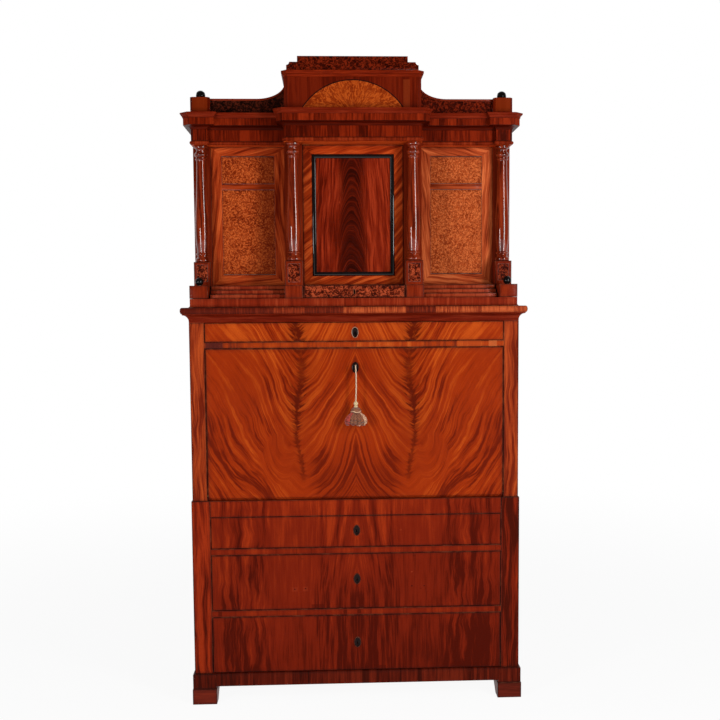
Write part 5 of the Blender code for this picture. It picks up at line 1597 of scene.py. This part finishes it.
def build_wings():
    """Wing fronts: mitred frame, two burr panels, a cross bar, the outer pilaster and its side."""
    top, sill = ARCHITRAVE_Z - SEAT, TEMPLE_Z + CHEEK_HEIGHT
    front, back = WING_FRONT, WING_FRONT + WING_DEPTH
    near, far = 0.2315, 0.4862
    width = 0.0365
    edge = 0.0002  # from a panel's side to the line round it
    bottom_width, top_width = 0.039, 0.031
    upper_panel, bar = 0.0935, 0.0185
    panel_top = top - top_width
    bar_top = panel_top - upper_panel
    bar_low = bar_top - bar
    inside = WING_HALF - WING_DEPTH
    pilaster = ((far, back - 0.0001), (far, -0.1031), (WING_HALF, -0.1031), (WING_HALF, BACK - SEAT),
                (inside, BACK - SEAT), (inside, back - 0.0001))
    line = ((0.0, front + 0.0030), (0.0, front + 0.0006), (0.0012, front + 0.0006),
            (0.0012, front + 0.0030))
    for word, side, tones, right_shade_balance, burr, darkness, shade in WINGS:
        a, b = span(side, near, far)
        c, d = a + width, b - width
        bm = bmesh.new()
        materials = []
        for i, outline in enumerate(mitred(a, b, sill, top, width + 0.0010, 0.0295)):
            add_prism(bm, outline, front, back, i)
            materials.append(leaning_material(
                "wing_" + word + "_" + MEMBERS[i], tones, WING_LEANS[i] * side,
                ((a, front, sill), (b, FAR_BACK, top)), 0.014, right_shade_balance if i == 1 else 0.54, 1.6,
            ))
        add_prism(bm, [(a, TEMPLE_Z), (b, TEMPLE_Z), (b, sill), (a, sill)], front, back, 2)
        add_prism(bm, [(side * x, y) for x, y in pilaster], TEMPLE_Z, top, 4, 0.0008, upright=True)
        materials.append(grain_material("wing_side_" + word, TEMPLE, "z", 0.012, None, 0.52, 1.0))
        for i, (low, high) in enumerate(((sill + bottom_width, bar_low), (bar_top, panel_top))):
            add_box(bm, (c, front + 0.0015, low), (d, front + 0.0200, high), 0.0, 5 + i)
            add_frame_bead(bm, c + edge, d - edge, low + edge, high - edge, line, 8)
            materials.append(burr_material(
                "wing_burr_" + word + str(i), burr, 0.0034, darkness,
                ((c, front, low), (d, FAR_BACK, high)), shade=shade,
            ))
        add_box(bm, (c - 0.0005, front + 0.0004, bar_low), (d + 0.0005, front + 0.0200, bar_top),
                0.0005, 7)
        materials.append(grain_material("wing_bar_" + word, tones, "x", 0.010, None, 0.34, 1.0))
        materials.append(line_material("wing_line_" + word))
        finish_piece("wing_" + word + "_dressed", bm, materials, "wing_" + word, 30)


def build_door():
    """Cupboard door: mitred frame, ebonized bead and a plume panel."""
    low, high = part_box("door")
    front, back = low.y + 0.005, high.y
    a, b, c, d = low.x, high.x, low.z, high.z
    width, reach, bead_height = 0.037, 0.0070, 0.0055
    lap = width - 0.001
    bm = bmesh.new()
    materials = []
    for i, outline in enumerate(mitred(a, b, c, d, width, width)):
        add_prism(bm, outline, front, back, i)
        materials.append(leaning_material(
            "door_" + MEMBERS[i], DOOR_FRAME, DOOR_LEANS[i], ((a, front, c), (b, back, d)), 0.013, 0.5, 1.7
        ))
    add_box(bm, (a + lap, front + 0.0015, c + lap), (b - lap, back - 0.002, d - lap), 0.0, 4)
    materials.append(plume_material("door_plume", c + width, d - width))
    start = width - reach
    bead = [(start, front + 0.0040), *hollow(start, front + 0.0006, reach, -bead_height, 17, math.pi),
            (start + 2 * reach, front + 0.0040)]
    add_frame_bead(bm, a, b, c, d, bead, 5)
    materials.append(ebony_material("door_bead_ebony", 0.85))
    finish_piece("cupboard_door_dressed", bm, materials, "door", 50, "cupboard_door")


def build_entablature():
    """Architrave with a rounded fascia, frieze, cove, corona and crown, over the columns and the door."""
    cove = CORONA_Z - 0.012
    step, height = CROWN_OUT - CORONA_OUT, ATTIC_Z - CROWN_Z
    profile = [(0.0, ARCHITRAVE_Z), (0.0, ARCHITRAVE_Z + 0.0010)]
    profile += [(0.0048 * math.sin(angle), ARCHITRAVE_Z + 0.0070 - 0.0056 * math.cos(angle))
                for angle in sweep(0, math.pi, 11)[1:-1]]
    profile += [(0.0, ARCHITRAVE_Z + 0.0128), (0.0, cove)]
    profile += hollow(0.0008, cove + 0.0006, 0.0140, 0.0110, 9)
    profile += [(CORONA_OUT, CORONA_Z + SEAT), (CORONA_OUT, CROWN_Z)]
    profile += [(CORONA_OUT + step * out, CROWN_Z + height * up) for out, up in CROWN_CURVE]
    half = ENTRY_HIGH.x - CROWN_OUT
    inner = half - BLOCK_WIDTH
    outline = mirrored([
        (CENTRE_HALF, CENTRE_FRONT), (CENTRE_HALF, FRIEZE_FRONT), (inner, FRIEZE_FRONT),
        (inner, BLOCK_FRONT), (half, BLOCK_FRONT), (half, BACK),
    ])
    bm = bmesh.new()
    add_moulding(bm, canted(outline, (1, 5, 6, 10), CANT), profile)
    levels = (ARCHITRAVE_Z + 0.0002, FRIEZE_Z - 0.0005, cove + 0.0002, CORONA_Z + 0.0005, CROWN_Z)
    paint(bm, lambda spot: sum(spot.z >= level for level in levels))

    def shadow(z, tall, share):
        return (0.0, z, ENTRY_HIGH.x, tall, BLACK, share)

    finish_piece("entablature_dressed", bm, [
        # Underside of the architrave: painted light, a lighter wood than the frame's
        grain_material("underside_painted_light", UNDERSIDE_LIT, "x", 0.010, None, 0.5, 1.2),
        band_material("architrave_veneer", TEMPLE, None, 0.034, 7.7),
        band_material("frieze_veneer", FRIEZE, None, 0.034, 3.3, balance=0.57, spread=0.7,
                      patches=[shadow(FRIEZE_Z - 0.0006, 0.0010, 0.55)]),
        # Cove and the corona's underside: painted shade, near-black wood
        grain_material("cove_painted_shade", FRIEZE, "x", 0.010, None, 0.12, 0.7),
        band_material("corona_veneer", CROSS, None, 0.030, 8.1, spread=0.6,
                      patches=[shadow(CROWN_Z, 0.0012, 0.55), shadow(CORONA_Z, 0.0016, 0.65)]),
        grain_material("crown_wood", CROWN, "x", 0.006, None, 0.5, 1.2),
    ], "entablature")


def build_attic():
    """Attic block: upright veneer, a burr fan under a dark arc, and a crown."""
    low, high = (corner.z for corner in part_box("attic"))
    half, out, cant, depth = 0.2279, 0.0085, 0.012, 0.240
    front = CENTRE_FRONT + 0.008
    crown = ATTIC_Z + 0.1060
    rise = high - crown
    profile = [(0.0, low), (0.0, crown - 0.0002), (0.0016, crown)]
    profile += hollow(0.0016, crown + 0.0014, 0.62 * out, rise * 0.42, 9)
    profile += [(out - 0.0008, crown + rise * 0.60), (out, crown + rise * 0.66), (out, high)]
    bm = bmesh.new()
    add_moulding(bm, canted(plan_of(half, front, front + depth), (1, 2), cant), profile)
    paint(bm, lambda spot: spot.z > crown - 0.0001)
    lunette, lift = 0.172, 0.097
    radius = (lunette ** 2 + lift ** 2) / (2 * lift)
    centre = (0.0, low + lift - radius)
    spread = math.asin(lunette / radius)
    ends = (math.pi / 2 - spread, math.pi / 2 + spread)
    add_prism(bm, arc(centre, radius, *ends, 49), front - 0.0009, front + 0.003, 2)
    outer = arc(centre, radius + 0.0004, *ends, 49)
    inner = [(x, max(z, low)) for x, z in arc(centre, radius - 0.0026, *reversed(ends), 49)]
    add_prism(bm, outer + inner, front - 0.0012, front + 0.002, 3)
    stain = (0.178, (low + crown) / 2, 0.011, 0.045, (0.230, 0.0300, 0.0060), 0.55)
    finish_piece("attic_dressed", bm, [
        band_material("attic_veneer", ATTIC, None, 0.075, 5.2, 0.012, spread=0.9, contrast=1.6,
                      patches=[stain]),
        grain_material("attic_crown_wood", CROSS, "x", 0.006, None, 0.6, 1.1),
        burr_material("lunette_burr", BURR_FAN, 0.0044, 0.02, fan=(0.0, low - 0.02)),
        ebony_material("lunette_line"),
    ], "attic")


def build_cap():
    """Stepped burr cap with a small hollow at each step."""
    low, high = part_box("attic_cap")
    inset, notch, lower_height = 0.036, 0.010, 0.0280
    wide, narrow, step = high.x, high.x - inset, low.z + lower_height
    right = [(narrow, high.z), (narrow, step)]
    right += reversed(arc((wide, step), notch, -math.pi / 2, -math.pi, 10))
    right += [(wide, step - notch), (wide, low.z)]
    bm = bmesh.new()
    add_prism(bm, mirrored(right), low.y, high.y, 0, 0.0008)
    burr = burr_material("cap_burr", BURR_DARK, 0.0044, 0.05)
    finish_piece("attic_cap_dressed", bm, [burr], "attic_cap")


def build_posts():
    """Corner posts with a paler front and an ebonized finial."""
    ebony = ebony_material("finial_ebony")
    front, back = BLOCK_FRONT, BLOCK_FRONT + POST_WIDTH
    for word, side in SIDES:
        low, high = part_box("post_" + word)
        base, top = low.z, high.z - FINIAL_HEIGHT
        left, right = span(side, WING_HALF - POST_WIDTH, WING_HALF)
        outline = [(left, front), (right, front), (right, back), (left, back)]
        bm = bmesh.new()
        add_moulding(bm, canted(outline, range(4), POST_CANT), [
            (POST_FOOT, base), (POST_FOOT, base + 0.0030), (0.0008, base + 0.0052), (0.0, base + 0.0080),
            (0.0, top - 0.0008), (-0.0008, top),
        ])
        paint(bm, lambda spot: abs(spot.y - front) < 0.0004 and spot.z > base + 0.008)
        finish_piece("post_" + word + "_dressed", bm, [
            grain_material("post_wood_" + word, CROSS, "z", 0.008, None, 0.40, 1.0),
            grain_material("post_face_" + word, POST, "z", 0.012, None, 0.60, 0.8),
        ], "post_" + word, 25)
        bm = bmesh.new()
        add_turning(bm, curve_through(FINIAL, top), ((left + right) / 2, front + POST_WIDTH / 2), 48)
        finish_piece("finial_" + word, bm, [ebony], smooth=40)


def build_crestings():
    """Swept boards: dark burr under a mahogany edge that follows the sweep."""
    flat_height, flat_length, rise, edge = 0.052, 0.1565, 0.0525, 0.0068
    for word, side in SIDES:
        low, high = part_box("cresting_" + word)
        near, far = sorted((abs(low.x), abs(high.x)))
        far += POST_FOOT
        flat_z = low.z + flat_height
        flat_end = far - flat_length
        upper = [(far, flat_z), (flat_end, flat_z)]
        upper += [(x, z) for z, x in hollow(flat_z, flat_end, rise, near - flat_end, 25)[1:-1]]
        upper += [(near, high.z)]
        upper = [(side * x, z) for x, z in upper]
        lower = [(x, z - edge) for x, z in upper]
        bm = bmesh.new()
        add_prism(bm, [(side * near, low.z), (side * far, low.z), *lower], low.y + 0.0010,
                  high.y - 0.0010, 0)
        add_prism(bm, upper + lower[::-1], low.y, high.y, 1, 0.0007)
        burr = BURR_BLACK if word == "left" else BURR_DARK
        finish_piece("cresting_" + word + "_dressed", bm, [
            burr_material("cresting_burr_" + word, burr, 0.0048, 0.08),
            grain_material("cresting_edge_" + word, COVE, "x", 0.006, None, 0.95, 0.9),
        ], "cresting_" + word)


def dress_temple():
    """Cupboard's walls and inner pilasters, and the burr drawer."""
    dress("temple_case", grain_material("cupboard_wood", TEMPLE, "z", 0.012, shelves=True))
    low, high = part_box("burr_drawer")
    middle = (low.z + high.z) / 2
    box = ((low.x + REVEAL, low.y, low.z + REVEAL), (high.x - REVEAL, FAR_BACK, high.z))
    # Painted keyhole: a pale rim, and black painted shade for the hole
    keyhole = ((-0.0005, middle, 0.0042, 0.0085, WORN, 0.35), (-0.0005, middle, 0.0030, 0.0072, BLACK, 1.0))
    dress("burr_drawer", burr_material(
        "burr_drawer_face", BURR_RED, 0.0042, 0.16, box, share=0.26, patches=keyhole, depth=FRONT_DEPTH
    ))


set_camera()
build_floor()
build_studio()
build_key()
build_tassel()
build_lock_plates()
dress_base()
dress_case()
build_case_top()
build_deck()
build_pedestals()
build_balls()
build_columns()
dress_temple()
build_wings()
build_door()
build_entablature()
build_attic()
build_cap()
build_posts()
build_crestings()
